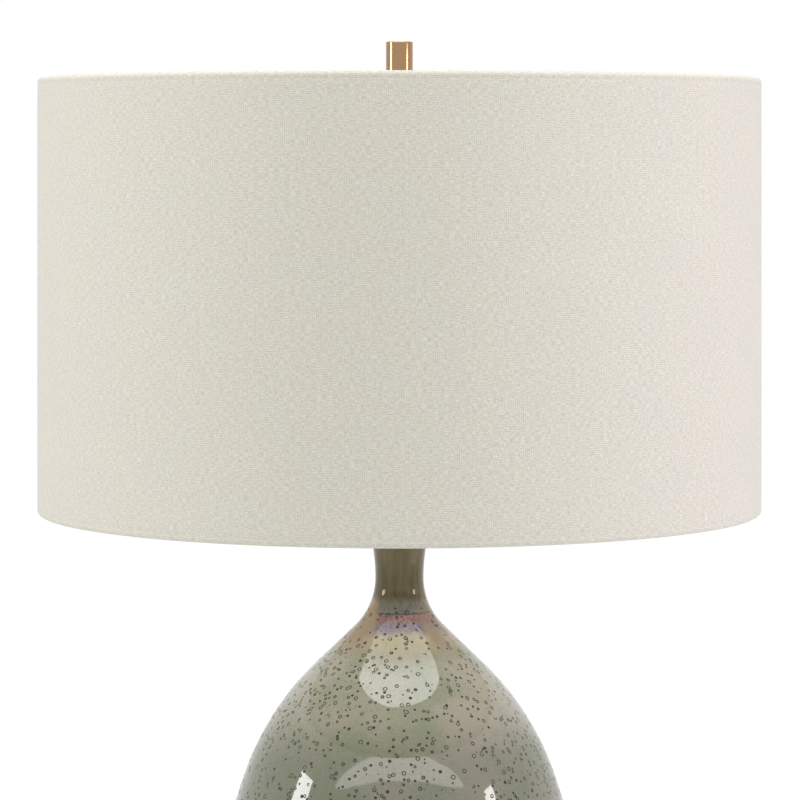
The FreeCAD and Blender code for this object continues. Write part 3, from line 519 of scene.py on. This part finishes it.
@dataclass(frozen=True)
class LustreGlaze:
    """Grey-green lustre glaze with ring-shaped pits, a dark neck that is partly painted shade, and
    coloured bands below it that are partly painted reflection.

    Each pair of heights, in metres above the table, says where an effect begins and is full.

    Attributes:
        green, rose: the two tones of the body.
        painted_light_lift: how much lighter the body is painted higher up, as painted light that
            stands in for the reflection of the lit liner inside the shade.
        warm: the ochre at both sides of the bands.
        roughness: the least roughness.
        relief: how deep the ripples and pits are.
        pit_cell: how wide a cell with one burst bubble is.
        pit_rim: how thick a bubble's rim is, as a share of the cell.
        bare: the heights for the bare foot.
        painted_light_zone: the heights over which that painted light comes in.
        lustre, bands: those over which the two lists of stops run.
        calm: those over which the bands become uneven, downwards.
        pit_top, pit_crowd: those where pits begin, downwards, and become more, upwards.
    """

    name: str = "lustre_glaze"
    green: Colour = (0.147, 0.167, 0.100)
    rose: Colour = (0.206, 0.194, 0.138)
    painted_light_lift: Colour = (1.62, 1.58, 1.66)
    pit: Colour = (0.030, 0.027, 0.020)
    clay: Colour = (0.46, 0.38, 0.28)
    warm: Colour = (0.275, 0.212, 0.128)
    vein: Colour = (0.085, 0.080, 0.105)
    # The neck's two tones: darker, browner glaze, darkened further as painted shade from the shade
    # above.
    neck_glaze_and_shade: tuple[Colour, Colour] = ((0.072, 0.060, 0.031), (0.106, 0.090, 0.053))
    refraction: float = 1.62
    roughness: float = 0.045
    relief: float = 0.16 * MM
    pit_cell: float = 4.0 * MM
    pit_rim: float = 0.098
    bare: Point = (0.0278, 0.0272)
    painted_light_zone: Point = (0.262, 0.300)
    lustre: Point = (0.315, 0.355)
    bands: Point = (0.323, 0.355)
    band_start: Point = (0.322, 0.331)
    warm_start: Point = (0.322, 0.338)
    vein_start: Point = (0.336, 0.345)
    neck_start: Point = (0.3565, 0.3625)
    calm: Point = (0.3516, 0.3465)
    pit_top: Point = (0.362, 0.346)
    pit_crowd: Point = (-0.06, 0.22)

    def material(self) -> bpy.types.Material:
        """Builds the glaze."""
        recipe = Recipe(self.name)
        place = recipe.place()
        height = recipe.part_of(place, "Z")
        colour = self._coloured(recipe, place, height, self._body_colour(recipe, place, height))
        rings, hollows = self._pits(recipe, place, height)
        colour = recipe.mix(recipe.times(rings, 0.95), colour, self.pit)
        uneven = recipe.plus(height, recipe.times(recipe.noise(place, 60.0), 2 * MM))
        bare = recipe.span(uneven, *self.bare)
        rough = recipe.plus(recipe.times(bare, 0.7), recipe.times(rings, 0.45))
        lustre = self._lustre(recipe, height)
        recipe.surface(
            Base_Color=recipe.mix(bare, colour, self.clay),
            Roughness=recipe.plus(rough, self.roughness, clamp=True),
            Specular_Tint=recipe.mix(recipe.times(rings, 0.8), lustre, self.pit),
            IOR=self.refraction,
        )
        ripple = recipe.times(recipe.noise(place, 16.0, 2.0), 2.2)
        dimple = recipe.times(recipe.noise(place, 55.0, 1.0), 0.45)
        recipe.relief(recipe.minus(recipe.plus(ripple, dimple), hollows), self.relief)
        return recipe.material

    def _lustre(self, recipe: Recipe, height: Value) -> Socket:
        """The metallic tint of the gloss, which turns from white to violet and rust."""
        streaks = recipe.noise(recipe.place((1.0, 1.0, 0.10)), 340.0, 2.0, 0.6)
        level = recipe.plus(height, recipe.swing(streaks, 9 * MM))
        return recipe.ramp(recipe.span(level, *self.lustre, smooth=False), LUSTRE_STOPS)

    def _body_colour(self, recipe: Recipe, place: Value, height: Value) -> Socket:
        """Soft patches of green and rose with a fine mottle, painted lighter higher up as painted
        light.
        """
        patches = recipe.noise(place, 19.0, 4.0, 0.55)
        mottle = recipe.noise(place, 650.0, 3.0, 0.75)
        tone = recipe.plus(recipe.times(patches, 0.62), recipe.times(mottle, 0.38))
        body = recipe.mix(recipe.span(tone, 0.42, 0.6), self.green, self.rose)
        # Painted light: the upper body is made lighter, in place of the lit liner's reflection.
        painted_light_zone = recipe.mix(recipe.span(height, *self.painted_light_zone), (1.0, 1.0, 1.0), self.painted_light_lift)
        return recipe.mix(1.0, body, painted_light_zone, "MULTIPLY")

    def _bands(self, recipe: Recipe, place: Value, height: Value, streaks: Value) -> Socket:
        """The bands under the neck, streaked downwards: the glaze runs thinner there, and they are
        partly painted reflection.
        """
        drift = recipe.noise(place, 40.0, 2.0)
        shift = recipe.plus(recipe.swing(streaks, 6 * MM), recipe.swing(drift, 3 * MM))
        level = recipe.plus(height, recipe.times(shift, recipe.span(height, *self.calm)))
        bands = recipe.ramp(recipe.span(level, *self.bands, smooth=False), BAND_STOPS)
        veins = recipe.noise(recipe.place((1.0, 1.0, 0.05)), 520.0, 2.0, 0.7)
        veins = recipe.times(recipe.span(veins, 0.52, 0.40), recipe.span(height, *self.vein_start))
        return recipe.mix(recipe.times(veins, 0.55), bands, self.vein)

    def _coloured(self, recipe: Recipe, place: Value, height: Value, body: Value) -> Socket:
        """The body with the bands, the ochre beside them and the neck laid over it; the bands are
        strongest on the front as painted reflection, and the neck's darkness is partly painted
        shade.

        Args:
            recipe: the material in the making.
            place: the point on the jar.
            height: the point's height.
            body: the colour of the body there.

        Returns:
            The colour of the glaze.
        """
        streaks = recipe.noise(recipe.place((1.0, 1.0, 0.12)), 300.0, 2.0, 0.6)
        x, y = recipe.part_of(place, "X"), recipe.part_of(place, "Y")
        side = recipe.math("DIVIDE", recipe.math("ABSOLUTE", x), recipe.from_axis(x, y))
        # Painted reflection: the bands are made strongest on the front, which faces -Y, standing in
        # for the reflection of the shade's inside.
        front = recipe.times(recipe.span(side, 0.66, 0.50), recipe.span(y, 0.0, -4 * MM))
        lobes = recipe.noise(recipe.place((1.0, 1.0, 0.0)), 34.0, 1.0)
        amount = recipe.math("MAXIMUM", front, recipe.span(lobes, 0.5, 0.62))
        amount = recipe.times(amount, recipe.span(height, *self.band_start))
        warm = recipe.mix(recipe.span(height, *self.warm_start), body, self.warm)
        colour = recipe.mix(amount, warm, self._bands(recipe, place, height, streaks))
        # Painted shade: the neck's colour is partly the shade's shadow painted on.
        neck = recipe.mix(recipe.span(streaks, 0.3, 0.7), *self.neck_glaze_and_shade)
        return recipe.mix(recipe.span(height, *self.neck_start), colour, neck)

    def _pits(self, recipe: Recipe, place: Value, height: Value) -> tuple[Socket, Socket]:
        """Small burst bubbles. There are none on the neck and fewer low down.

        Args:
            recipe: the material in the making.
            place: the point on the jar.
            height: the point's height.

        Returns:
            Where the dark rims are and where the shallow hollows are, both from 0 to 1.
        """
        bubbles = recipe.cells(place, 1.0 / self.pit_cell)
        distance, random = bubbles.outputs["Distance"], bubbles.outputs["Color"]
        size = recipe.plus(recipe.times(recipe.part_of(random, "Y"), 0.22), 0.10)
        size = recipe.plus(size, recipe.swing(recipe.noise(place, 500.0, 1.0), 0.03))
        crowd = recipe.span(recipe.noise(place, 30.0, 2.0), 0.20, 0.56)
        limit = recipe.times(crowd, recipe.span(height, *self.pit_top))
        limit = recipe.times(limit, recipe.span(height, *self.pit_crowd))
        keep = recipe.math("LESS_THAN", recipe.part_of(random, "X"), limit)
        past = recipe.minus(distance, size)
        rim = recipe.span(recipe.math("ABSOLUTE", past), self.pit_rim, self.pit_rim * 0.45)
        return recipe.times(rim, keep), recipe.times(recipe.span(past, 0.02, -0.05), keep)


BRASS = (0.385, 0.235, 0.127)
BRASS_TARNISH = (0.31, 0.175, 0.085)
GOLD_BRASS = (0.70, 0.50, 0.24)
STEEL = (0.62, 0.61, 0.58)
STEEL_TARNISH = (0.38, 0.37, 0.35)

FINISHES: dict[str, Union[Metal, Plain, Linen, LustreGlaze]] = {
    "glaze": LustreGlaze(),
    "linen": Linen(),
    "liner": Plain("white_liner", (0.85, 0.84, 0.80), (0.82, 0.81, 0.77), 0.55, 2.0, 0.02),
    "finial_brass": Metal("turned_finial_brass", BRASS, BRASS_TARNISH, 0.08, Grain.TURNED),
    "base_brass": Metal("turned_base_brass", BRASS, BRASS_TARNISH, 0.22, Grain.TURNED),
    "fitting_brass": Metal("turned_fitting_brass", BRASS, BRASS_TARNISH, 0.20, Grain.TURNED),
    "harp_brass": Metal("drawn_harp_brass", GOLD_BRASS, BRASS_TARNISH, 0.22),
    "spider_brass": Metal("drawn_spider_brass", GOLD_BRASS, BRASS_TARNISH, 0.25),
    "socket_brass": Metal("pressed_socket_brass", GOLD_BRASS, BRASS_TARNISH, 0.18),
    "contact_brass": Metal("pressed_contact_brass", GOLD_BRASS, BRASS_TARNISH, 0.30),
    "zinc_steel": Metal("zinc_plated_steel", STEEL, STEEL_TARNISH, 0.32),
    "ring_steel": Metal("bright_ring_wire", STEEL, STEEL_TARNISH, 0.28),
    "bulb_cap": Metal("rolled_aluminium", (0.80, 0.80, 0.79), (0.60, 0.60, 0.59), 0.26),
    "solder": Metal("solder", (0.60, 0.60, 0.58), (0.40, 0.40, 0.38), 0.35, Grain.CAST),
    "weight_iron": Metal("cast_iron", (0.16, 0.155, 0.15), (0.10, 0.09, 0.08), 0.60, Grain.CAST),
    "felt": Plain(
        "pressed_felt", (0.030, 0.034, 0.030), (0.014, 0.016, 0.014), 0.95, 0.4, 0.35, sheen=0.5
    ),
    "gasket_rubber": Plain(
        "sheet_rubber", (0.035, 0.034, 0.033), (0.022, 0.022, 0.022), 0.75, 0.8, 0.03
    ),
    "bushing_plastic": Plain(
        "bushing_plastic", (0.040, 0.034, 0.028), (0.030, 0.026, 0.022), 0.42, 0.7, 0.02
    ),
    "phenolic": Plain(
        "moulded_phenolic", (0.035, 0.028, 0.022), (0.022, 0.018, 0.015), 0.45, 0.8, 0.03
    ),
    "knob_plastic": Plain(
        "polished_black_plastic", (0.016, 0.015, 0.014), (0.012, 0.011, 0.010), 0.22, 1.2, 0.008
    ),
    "bulb_black": Plain(
        "black_glass", (0.012, 0.011, 0.016), (0.008, 0.008, 0.010), 0.12, 2.0, 0.01
    ),
    "bulb_white": Plain(
        "frosted_bulb_glass", (0.86, 0.86, 0.84), (0.83, 0.83, 0.81), 0.34, 0.5, 0.01, coat=0.2
    ),
    "paper": Plain("grey_board", (0.42, 0.33, 0.23), (0.35, 0.27, 0.19), 0.90, 0.6, 0.05),
}




# ---------------------------------------------------------------- pieces


def settle(piece: bpy.types.Object, body: str, slot: str, replaced: Sequence[str] = ()) -> None:
    """Puts a finished piece on its body and under its finish.

    Args:
        piece: the finished piece.
        body: the body that it rides on.
        slot: the finish's slot.
        replaced: the nodes that it stands for.
    """
    if replaced:
        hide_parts(*replaced)
    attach(piece, body)
    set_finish(piece, slot)
    LOG.info("%s: %d faces, rides on %s", piece.name, len(piece.data.polygons), body)


@dataclass
class Jar:
    """The glazed jar, as arcs that run into each other.

    Every *_arc is an arc's radius, and every angle, in degrees, is measured at an arc's centre.
    """

    foot_height: float = 23.5 * MM
    wall: float = 5 * MM
    foot_radius: float = 65 * MM
    foot_round: float = 4 * MM
    foot_ring: float = 9 * MM
    foot_recess: float = 3 * MM
    floor: float = 6 * MM
    floor_hole: float = 8 * MM
    belly_radius: float = 114.8 * MM
    belly_height: float = 134 * MM
    belly_arc: float = 262 * MM
    shoulder_arc: float = 183 * MM
    shoulder_start: float = 20.6
    flank_angle: float = 46.0
    neck_arc: float = 42.8 * MM
    waist_radius: float = 15.4 * MM
    flare_arc: float = 116 * MM
    lip_rise: float = 28 * MM
    lip_round: float = 1.6 * MM

    def __post_init__(self) -> None:
        """Works out where the arcs' centres lie."""
        self.belly_z = self.foot_height + self.belly_height
        pull_in = self.belly_radius - self.foot_radius
        self.lower_arc = (self.belly_height**2 + pull_in**2) / (2 * pull_in)
        belly = (self.belly_radius - self.belly_arc, self.belly_z)
        lean = math.radians(self.shoulder_start)
        self.shoulder = on_arc(belly, self.belly_arc - self.shoulder_arc, lean)
        flank = math.radians(self.flank_angle)
        end = on_arc(self.shoulder, self.shoulder_arc, flank)
        run = (end[0] - self.waist_radius - self.neck_arc * (1 - math.cos(flank))) / math.sin(flank)
        self.neck = (
            self.waist_radius + self.neck_arc,
            end[1] + run * math.cos(flank) + self.neck_arc * math.sin(flank),
        )
        self.lip = self.neck[1] + self.lip_rise

    def side(self, inset: float, foot_angle: float, flare_angle: float, fine: int) -> list[Point]:
        """The side from the foot to the lip, set in from the outside.

        Args:
            inset: how far inside the outer surface.
            foot_angle: where the lower arc starts, in degrees.
            flare_angle: where the flare ends, in degrees.
            fine: how many points each arc gets.

        Returns:
            Points as (radius, height).
        """
        lower = (self.belly_radius - self.lower_arc, self.belly_z)
        belly = (self.belly_radius - self.belly_arc, self.belly_z)
        flare = (self.waist_radius + self.flare_arc, self.neck[1])
        start, flank = self.shoulder_start, self.flank_angle
        points = arc_points(lower, self.lower_arc - inset, foot_angle, 0, fine)
        points += arc_points(belly, self.belly_arc - inset, 0, start, fine)[1:]
        points += arc_points(self.shoulder, self.shoulder_arc - inset, start, flank, fine)[1:]
        points += arc_points(self.neck, self.neck_arc + inset, 180 + flank, 180, fine)
        points += arc_points(flare, self.flare_arc + inset, 180, flare_angle, fine)[1:]
        return points

    def foot_angle(self, inset: float, height: float) -> float:
        """Where the lower arc reaches a height, in degrees."""
        return -math.degrees(math.asin((self.belly_z - height) / (self.lower_arc - inset)))

    def flare_angle(self, inset: float, height: float) -> float:
        """Where the flare reaches a height, in degrees."""
        return 180 - math.degrees(math.asin((height - self.neck[1]) / (self.flare_arc + inset)))

    def outline(self) -> list[Point]:
        """The whole cut through the wall: outside, lip, inside, floor and foot ring."""
        start = self.foot_angle(self.foot_round, self.foot_height + self.foot_round)
        stop = self.flare_angle(self.lip_round, self.lip - self.lip_round)
        outer = self.side(0.0, start, stop, 22)
        lower = (self.belly_radius - self.lower_arc, self.belly_z)
        foot = on_arc(lower, self.lower_arc - self.foot_round, math.radians(start))
        flare = (self.waist_radius + self.flare_arc, self.neck[1])
        lip = on_arc(flare, self.flare_arc + self.lip_round, math.radians(stop))
        floor_top = self.foot_height + self.foot_recess + self.floor
        inside = (self.foot_angle(self.wall, floor_top), self.flare_angle(self.wall, self.lip))
        inner = self.side(self.wall, *inside, 8)
        ring = foot[0] - self.foot_ring
        floor = [
            (self.floor_hole, floor_top),
            (self.floor_hole, self.foot_height + self.foot_recess),
            (ring, self.foot_height + self.foot_recess),
            (ring, self.foot_height),
        ]
        points = arc_points(foot, self.foot_round, -90, start, 7)[:-1] + outer
        points += arc_points(lip, self.lip_round, stop - 180, 90, 7)[1:]
        return points + inner[::-1] + floor

    def build(self) -> None:
        """Turns the jar and settles it."""
        piece = Turning("glazed_jar", self.outline(), steps=160).build()
        settle(piece, "lamp", "glaze", ["jar_body"])


@dataclass
class Shade:
    """The cloth of the drum shade: rolled over both wires, dented beside them, lapped behind.

    Attributes:
        top: the height of the upper edge.
        sheet, liner, glue: how thick these are.
        roll: the radius of the cloth's turn over a wire.
        hem, hem_slope: how far the cloth reaches in, and how it slopes to the liner.
        dent: how deep the cloth is drawn in beside a wire.
        dents: its outer face from each wire on, as (millimetres, share of the dent).
        lap_proud, lap_gap: the lap's step, and how far its ends stay from the rolls.
        lap_weave: where the lap's weave begins on the map.
    """

    top: float = 688.30 * MM
    height: float = 273.3 * MM
    bottom_radius: float = 229.0 * MM
    top_radius: float = 227.2 * MM
    sheet: float = 0.6 * MM
    liner: float = 0.8 * MM
    glue: float = 0.05 * MM
    roll: float = 2.6 * MM
    hem: float = 12.0 * MM
    hem_slope: float = 5.0 * MM
    dent: float = 0.22 * MM
    dents: tuple[Point, ...] = ((0.6, 0.1), (1.4, 1.0), (2.4, 0.15), (6.0, 0.35), (9.5, 0.0))
    lap_width: float = 14.0 * MM
    lap_proud: float = 0.5 * MM
    lap_gap: float = 3.0 * MM
    lap_edge: float = 0.15 * MM
    lap_weave: Point = (0.31, 0.17)

    def __post_init__(self) -> None:
        """Works out the slant of the wall."""
        self.taper = math.atan2(self.bottom_radius - self.top_radius, self.height)
        self.length = self.height / math.cos(self.taper)

    def at(self, up: float, inward: float) -> Point:
        """A point of the wall, by how far up it and how far in from its outside it lies."""
        return (
            self.bottom_radius - up * math.sin(self.taper) - inward * math.cos(self.taper),
            self.top - self.height + up * math.cos(self.taper) - inward * math.sin(self.taper),
        )

    def edge(self, at_top: bool) -> tuple[list[Point], list[Point]]:
        """One rolled edge.

        Args:
            at_top: whether it is the upper edge.

        Returns:
            Its outside and its inside, both from the outer wall to the hem's end.
        """
        lining = self.sheet + 2 * self.glue + self.liner
        steps = 10
        turns = [math.pi * i / steps for i in range(steps + 1)]
        faces = []
        for radius, depth in ((self.roll, lining + self.sheet), (self.roll - self.sheet, lining)):
            face = [
                (self.roll - radius * math.sin(t), self.roll - radius * math.cos(t)) for t in turns
            ]
            face += [(self.roll + self.hem_slope, depth), (self.hem, depth)]
            faces.append([self.at(self.length - up if at_top else up, far) for up, far in face])
        return faces[0], faces[1]

    def wall(self) -> list[Point]:
        """The outer face between the rolls, from the bottom up, with a dent beside each wire."""
        low = [(self.roll + up * MM, share * self.dent) for up, share in self.dents]
        high = [(self.length - up, dent) for up, dent in reversed(low)]
        return [self.at(up, dent) for up, dent in low + high]

    def outline(self) -> list[Point]:
        """The cut through the cloth, closed."""
        low_outer, low_inner = self.edge(at_top=False)
        high_outer, high_inner = self.edge(at_top=True)
        return low_outer[::-1] + self.wall() + high_outer + high_inner[::-1] + low_inner

    def build(self) -> None:
        """Turns the cloth, lays out its weave, adds the lap and settles both."""
        outline = self.outline()
        cloth = Turning("linen_cloth", outline, steps=224).build()
        self.lay_out(cloth, outline)
        lap = self.lap()
        settle(cloth, "shade", "linen", ["shade_fabric"])
        settle(lap, "shade", "linen")

    @staticmethod
    def key(radius: float, height: float) -> tuple[int, int]:
        """A corner of the outline in hundredths of a millimetre, to find it again."""
        return round(radius * 1e5), round(height * 1e5)

    def lay_out(self, piece: bpy.types.Object, outline: Sequence[Point]) -> None:
        """Gives the cloth a map in metres: round the shade, and along its cut.

        Args:
            piece: the turned cloth.
            outline: the outline that it was turned from.
        """
        run: dict[tuple[int, int], float] = {}
        travelled, last = 0.0, outline[0]
        for corner in outline:
            travelled += math.dist(last, corner)
            run[self.key(*corner)] = travelled
            last = corner
        mesh = piece.data
        layer = mesh.uv_layers.new(name="weave")
        for polygon in mesh.polygons:
            centre = math.atan2(polygon.center.x, -polygon.center.y)
            for loop in polygon.loop_indices:
                x, y, z = mesh.vertices[mesh.loops[loop].vertex_index].co
                angle = math.atan2(x, -y)
                angle += FULL_TURN * round((centre - angle) / FULL_TURN)
                key = self.key(math.hypot(x, y), z)
                along = run.get(key)
                if along is None:
                    along = min(run.items(), key=lambda item: math.dist(item[0], key))[1]
                layer.data[loop].uv = (angle * self.bottom_radius, along)

    def lap(self) -> bpy.types.Object:
        """The strip at the back where the cloth's end is glued down over its start."""
        clear_selection()
        bpy.ops.mesh.primitive_grid_add(x_subdivisions=8, y_subdivisions=2, size=1.0)
        piece = bpy.context.object
        piece.name = "linen_lap"
        low = self.roll + self.lap_gap
        high = self.length - low
        for vertex in piece.data.vertices:
            angle = self.lap_width / self.bottom_radius * vertex.co.x
            radius, height = self.at(low + (high - low) * (vertex.co.y + 0.5), 0.0)
            vertex.co = (-radius * math.sin(angle), radius * math.cos(angle), height)
        bpy.ops.object.mode_set(mode="EDIT")
        bpy.ops.mesh.select_all(action="SELECT")
        bpy.ops.mesh.normals_make_consistent(inside=False)
        bpy.ops.object.mode_set(mode="OBJECT")
        if piece.data.polygons[0].normal.y < 0:
            piece.data.flip_normals()
        layer = piece.data.uv_layers.active
        layer.name = "weave"
        for polygon in piece.data.polygons:
            for loop in polygon.loop_indices:
                point = piece.data.vertices[piece.data.loops[loop].vertex_index].co
                layer.data[loop].uv = (point.x + self.lap_weave[0], point.z + self.lap_weave[1])
        thick = piece.modifiers.new("thickness", "SOLIDIFY")
        thick.thickness, thick.offset = self.lap_proud, 1.0
        edge = piece.modifiers.new("soft_edge", "BEVEL")
        edge.width, edge.segments = self.lap_edge, 2
        for name in ("thickness", "soft_edge"):
            bpy.ops.object.modifier_apply(modifier=name)
        bpy.ops.object.shade_smooth_by_angle(angle=math.radians(40))
        return piece


@dataclass
class Finial:
    """The plain turned cylinder on top, with eased edges and a blind hole."""

    low: float = 676.35 * MM
    height: float = 35.0 * MM
    radius: float = 8.5 * MM
    edge: float = 0.5 * MM
    bore: float = 3.18 * MM
    bore_depth: float = 12.0 * MM

    def build(self) -> None:
        """Turns the finial and settles it."""
        high = self.low + self.height
        bottom = self.low + self.bore_depth
        inner = self.radius - self.edge
        outline = [(self.bore, self.low)]
        outline += arc_points((inner, self.low + self.edge), self.edge, -90, 0, 6)
        outline += arc_points((inner, high - self.edge), self.edge, 0, 90, 6)
        outline += [(0.0, high), (0.0, bottom), (self.bore, bottom)]
        piece = Turning("turned_finial", outline, steps=128).build()
        settle(piece, "finial", "finial_brass", ["finial"])


# ---------------------------------------------------------------- studio


class LampShape(Enum):
    """The outline of a soft lamp, by its name in Blender."""

    PANEL = "RECTANGLE"
    OVAL = "ELLIPSE"


@dataclass(frozen=True)
class SoftLamp:
    """A soft lamp of the studio.

    Attributes:
        place: its middle.
        aim: the point that it faces.
        size: its width and height.
        in_gloss: whether it shows in reflections.
    """

    name: str
    place: tuple[float, float, float]
    aim: tuple[float, float, float]
    size: Point
    watts: float
    colour: Colour = (1.0, 1.0, 1.0)
    in_gloss: bool = True
    shape: LampShape = LampShape.PANEL

    def build(self) -> None:
        """Sets up the lamp."""
        light = bpy.data.lights.new(self.name, "AREA")
        light.shape = self.shape.value
        light.size, light.size_y = self.size
        light.energy = self.watts
        light.color = self.colour
        lamp = bpy.data.objects.new(self.name, light)
        bpy.context.scene.collection.objects.link(lamp)
        lamp.location = self.place
        sight = Vector(self.aim) - Vector(self.place)
        lamp.rotation_euler = sight.to_track_quat("-Z", "Y").to_euler()
        lamp.visible_glossy = self.in_gloss


@dataclass
class Studio:
    """Pale floor, white surround, soft lamps at both sides, above and in front, and the camera.

    Pairs with a value for each side are (left, right). Lengths are in metres.

    Attributes:
        floor_drop: how far the floor lies under the felt, so that the two don't share a plane.
        floor_glow: its glow near the lamp, and how much more it has far off.
        floor_fade: how far from the lamp the glow begins to rise and is full.
        side_angles: how far the side lamps stand from the front, in degrees.
        strip_watts_per_area: their power for a square metre.
        fill_height: the middle of the fill lamps, which show in no gloss.
        camera_pitch: how far the camera looks down, as an angle.
        lens_pixels: its focal length, in pixels of the photo.
        sensor_width: its sensor, in millimetres.
        centre_offset: how far the lamp's axis is from the photo's middle, in pixels.
    """

    floor_radius: float = 9.0
    floor_drop: float = 0.2 * MM
    floor_colour: Colour = (0.82, 0.82, 0.82)
    floor_glow: Point = (0.30, 0.32)
    floor_fade: Point = (0.25, 1.1)
    side_distance: float = 1.5
    side_angles: Point = (77.0, 70.0)
    strip_widths: Point = (0.34, 0.22)
    strip_tops: Point = (0.97, 0.89)
    strip_low: float = 0.56
    strip_watts_per_area: float = 30.0
    fill_height: float = 0.5
    fill_size: Point = (0.5, 1.0)
    fill_watts: Point = (3.3, 6.6)
    fill_colour: Colour = (0.88, 0.74, 1.0)
    surround_strength: float = 0.455
    surround_colour: Colour = (0.98, 0.99, 1.0)
    overhead: SoftLamp = SoftLamp(
        "overhead", (0.0, -0.35, 2.30), (0.0, -0.10, 0.5), (2.3, 1.3), 33.0
    )
    front_bank: SoftLamp = SoftLamp(
        "front_bank",
        (0.0, -1.62, 1.68),
        (0.0, 0.0, 0.3),
        (4.1, 0.46),
        10.0,
        shape=LampShape.OVAL,
    )
    camera_distance: float = 2.3023
    camera_height: float = 0.6400
    camera_pitch: float = 0.06716
    lens_pixels: float = 3638.64
    sensor_width: float = 36.0
    picture_width: float = 800.0
    centre_offset: float = -0.58

    def build(self) -> None:
        """Sets up the whole studio."""
        self.floor()
        self.surround()
        for side in (0, 1):
            self.side_lamps(side)
        self.overhead.build()
        self.front_bank.build()
        self.camera()
        bpy.context.scene.view_settings.view_transform = "Standard"

    def side_lamps(self, side: int) -> None:
        """A strip that shows in the glaze, and a wider fill.

        Args:
            side: 0 for the left, 1 for the right.
        """
        hand = ("left", "right")[side]
        angle = math.radians(self.side_angles[side])
        x = (-1, 1)[side] * math.sin(angle) * self.side_distance
        y = -math.cos(angle) * self.side_distance
        top, width = self.strip_tops[side], self.strip_widths[side]
        middle, tall = (top + self.strip_low) / 2, top - self.strip_low
        watts = self.strip_watts_per_area * width * tall
        strip = SoftLamp(
            "strip_" + hand, (x, y, middle), (0.0, 0.0, middle), (width, tall), watts
        )
        fill = SoftLamp(
            "fill_" + hand,
            (x, y, self.fill_height),
            (0.0, 0.0, self.fill_height),
            self.fill_size,
            self.fill_watts[side],
            self.fill_colour,
            in_gloss=False,
        )
        strip.build()
        fill.build()

    @staticmethod
    def seen(tree: bpy.types.NodeTree) -> Socket:
        """1 for the rays that show the background: the camera's, and those in gloss and glass."""
        path = tree.nodes.new("ShaderNodeLightPath")
        seen = path.outputs["Is Camera Ray"]
        for name in ("Is Glossy Ray", "Is Transmission Ray"):
            most = tree.nodes.new("ShaderNodeMath")
            most.operation = "MAXIMUM"
            tree.links.new(seen, most.inputs[0])
            tree.links.new(path.outputs[name], most.inputs[1])
            seen = most.outputs[0]
        return seen

    def floor(self) -> None:
        """A pale floor that keeps the shadow, fades into the surround and is clear from below."""
        clear_selection()
        bpy.ops.mesh.primitive_circle_add(vertices=96, radius=self.floor_radius, fill_type="NGON")
        floor = bpy.context.object
        floor.name = "studio_floor"
        floor.location.z = -self.floor_drop
        recipe = Recipe("pale_floor")
        diffuse = recipe.wire(recipe.node("BsdfDiffuse"), self.floor_colour)
        far = recipe.node("VectorMath", operation="LENGTH")
        recipe.wire(far, recipe.place())
        near, more = self.floor_glow
        fade = recipe.span(far.outputs["Value"], *self.floor_fade)
        lift = recipe.plus(recipe.times(fade, more), near)
        glow = recipe.node("Emission")
        recipe.feed(glow.inputs["Strength"], recipe.times(self.seen(recipe.tree), lift))
        both = recipe.wire(recipe.node("AddShader"), diffuse, glow.outputs[0])
        clear = recipe.node("BsdfTransparent").outputs[0]
        below = recipe.node("NewGeometry").outputs["Backfacing"]
        recipe.finish_with(recipe.wire(recipe.node("MixShader"), below, both, clear))
        floor.data.materials.append(recipe.material)

    def surround(self) -> None:
        """White where it is seen, softer where it lights the lamp."""
        world = bpy.data.worlds.new("white_surround")
        bpy.context.scene.world = world
        world.use_nodes = True
        tree = world.node_tree
        tree.nodes.clear()
        light = tree.nodes.new("ShaderNodeBackground")
        light.inputs["Color"].default_value = (*self.surround_colour, 1.0)
        light.inputs["Strength"].default_value = self.surround_strength
        white = tree.nodes.new("ShaderNodeBackground")
        white.inputs["Color"].default_value = (1.0, 1.0, 1.0, 1.0)
        mix = tree.nodes.new("ShaderNodeMixShader")
        output = tree.nodes.new("ShaderNodeOutputWorld")
        tree.links.new(self.seen(tree), mix.inputs[0])
        tree.links.new(light.outputs[0], mix.inputs[1])
        tree.links.new(white.outputs[0], mix.inputs[2])
        tree.links.new(mix.outputs[0], output.inputs["Surface"])

    def camera(self) -> None:
        """The camera of the photograph: a little above the middle of the shade, pitched down."""
        data = bpy.data.cameras.new("camera")
        data.sensor_width = self.sensor_width
        data.lens = self.lens_pixels * data.sensor_width / self.picture_width
        data.shift_x = -self.centre_offset / self.picture_width
        data.clip_end = CLIP_END
        camera = bpy.data.objects.new("camera", data)
        camera.location = (0.0, -self.camera_distance, self.camera_height)
        camera.rotation_euler = (math.pi / 2 - self.camera_pitch, 0.0, 0.0)
        bpy.context.scene.collection.objects.link(camera)
        bpy.context.scene.camera = camera


# ---------------------------------------------------------------- the whole lamp


def dress() -> None:
    """Gives every piece, new or carried over, the finish of its slot."""
    slots = {part["node"]: part["material_slot"] for part in FRAME["record"]["subparts"]}
    made = {slot: finish.material() for slot, finish in FINISHES.items()}
    for name, node in FRAME["nodes"].items():
        node.material_slots[0].material = made[slots[name]]
    for piece in bpy.data.objects:
        slot = piece.get("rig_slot")
        if slot and piece.type == "MESH":
            piece.data.materials.clear()
            piece.data.materials.append(made[slot])
    LOG.info("%d finishes on %d nodes", len(made), len(slots))


def main() -> None:
    """Builds the lamp's own pieces, then the finishes and the studio."""
    logging.basicConfig(level=logging.INFO, format="%(name)s: %(message)s")
    Jar().build()
    Shade().build()
    Finial().build()
    dress()
    Studio().build()


if __name__ == "__main__":
    main()
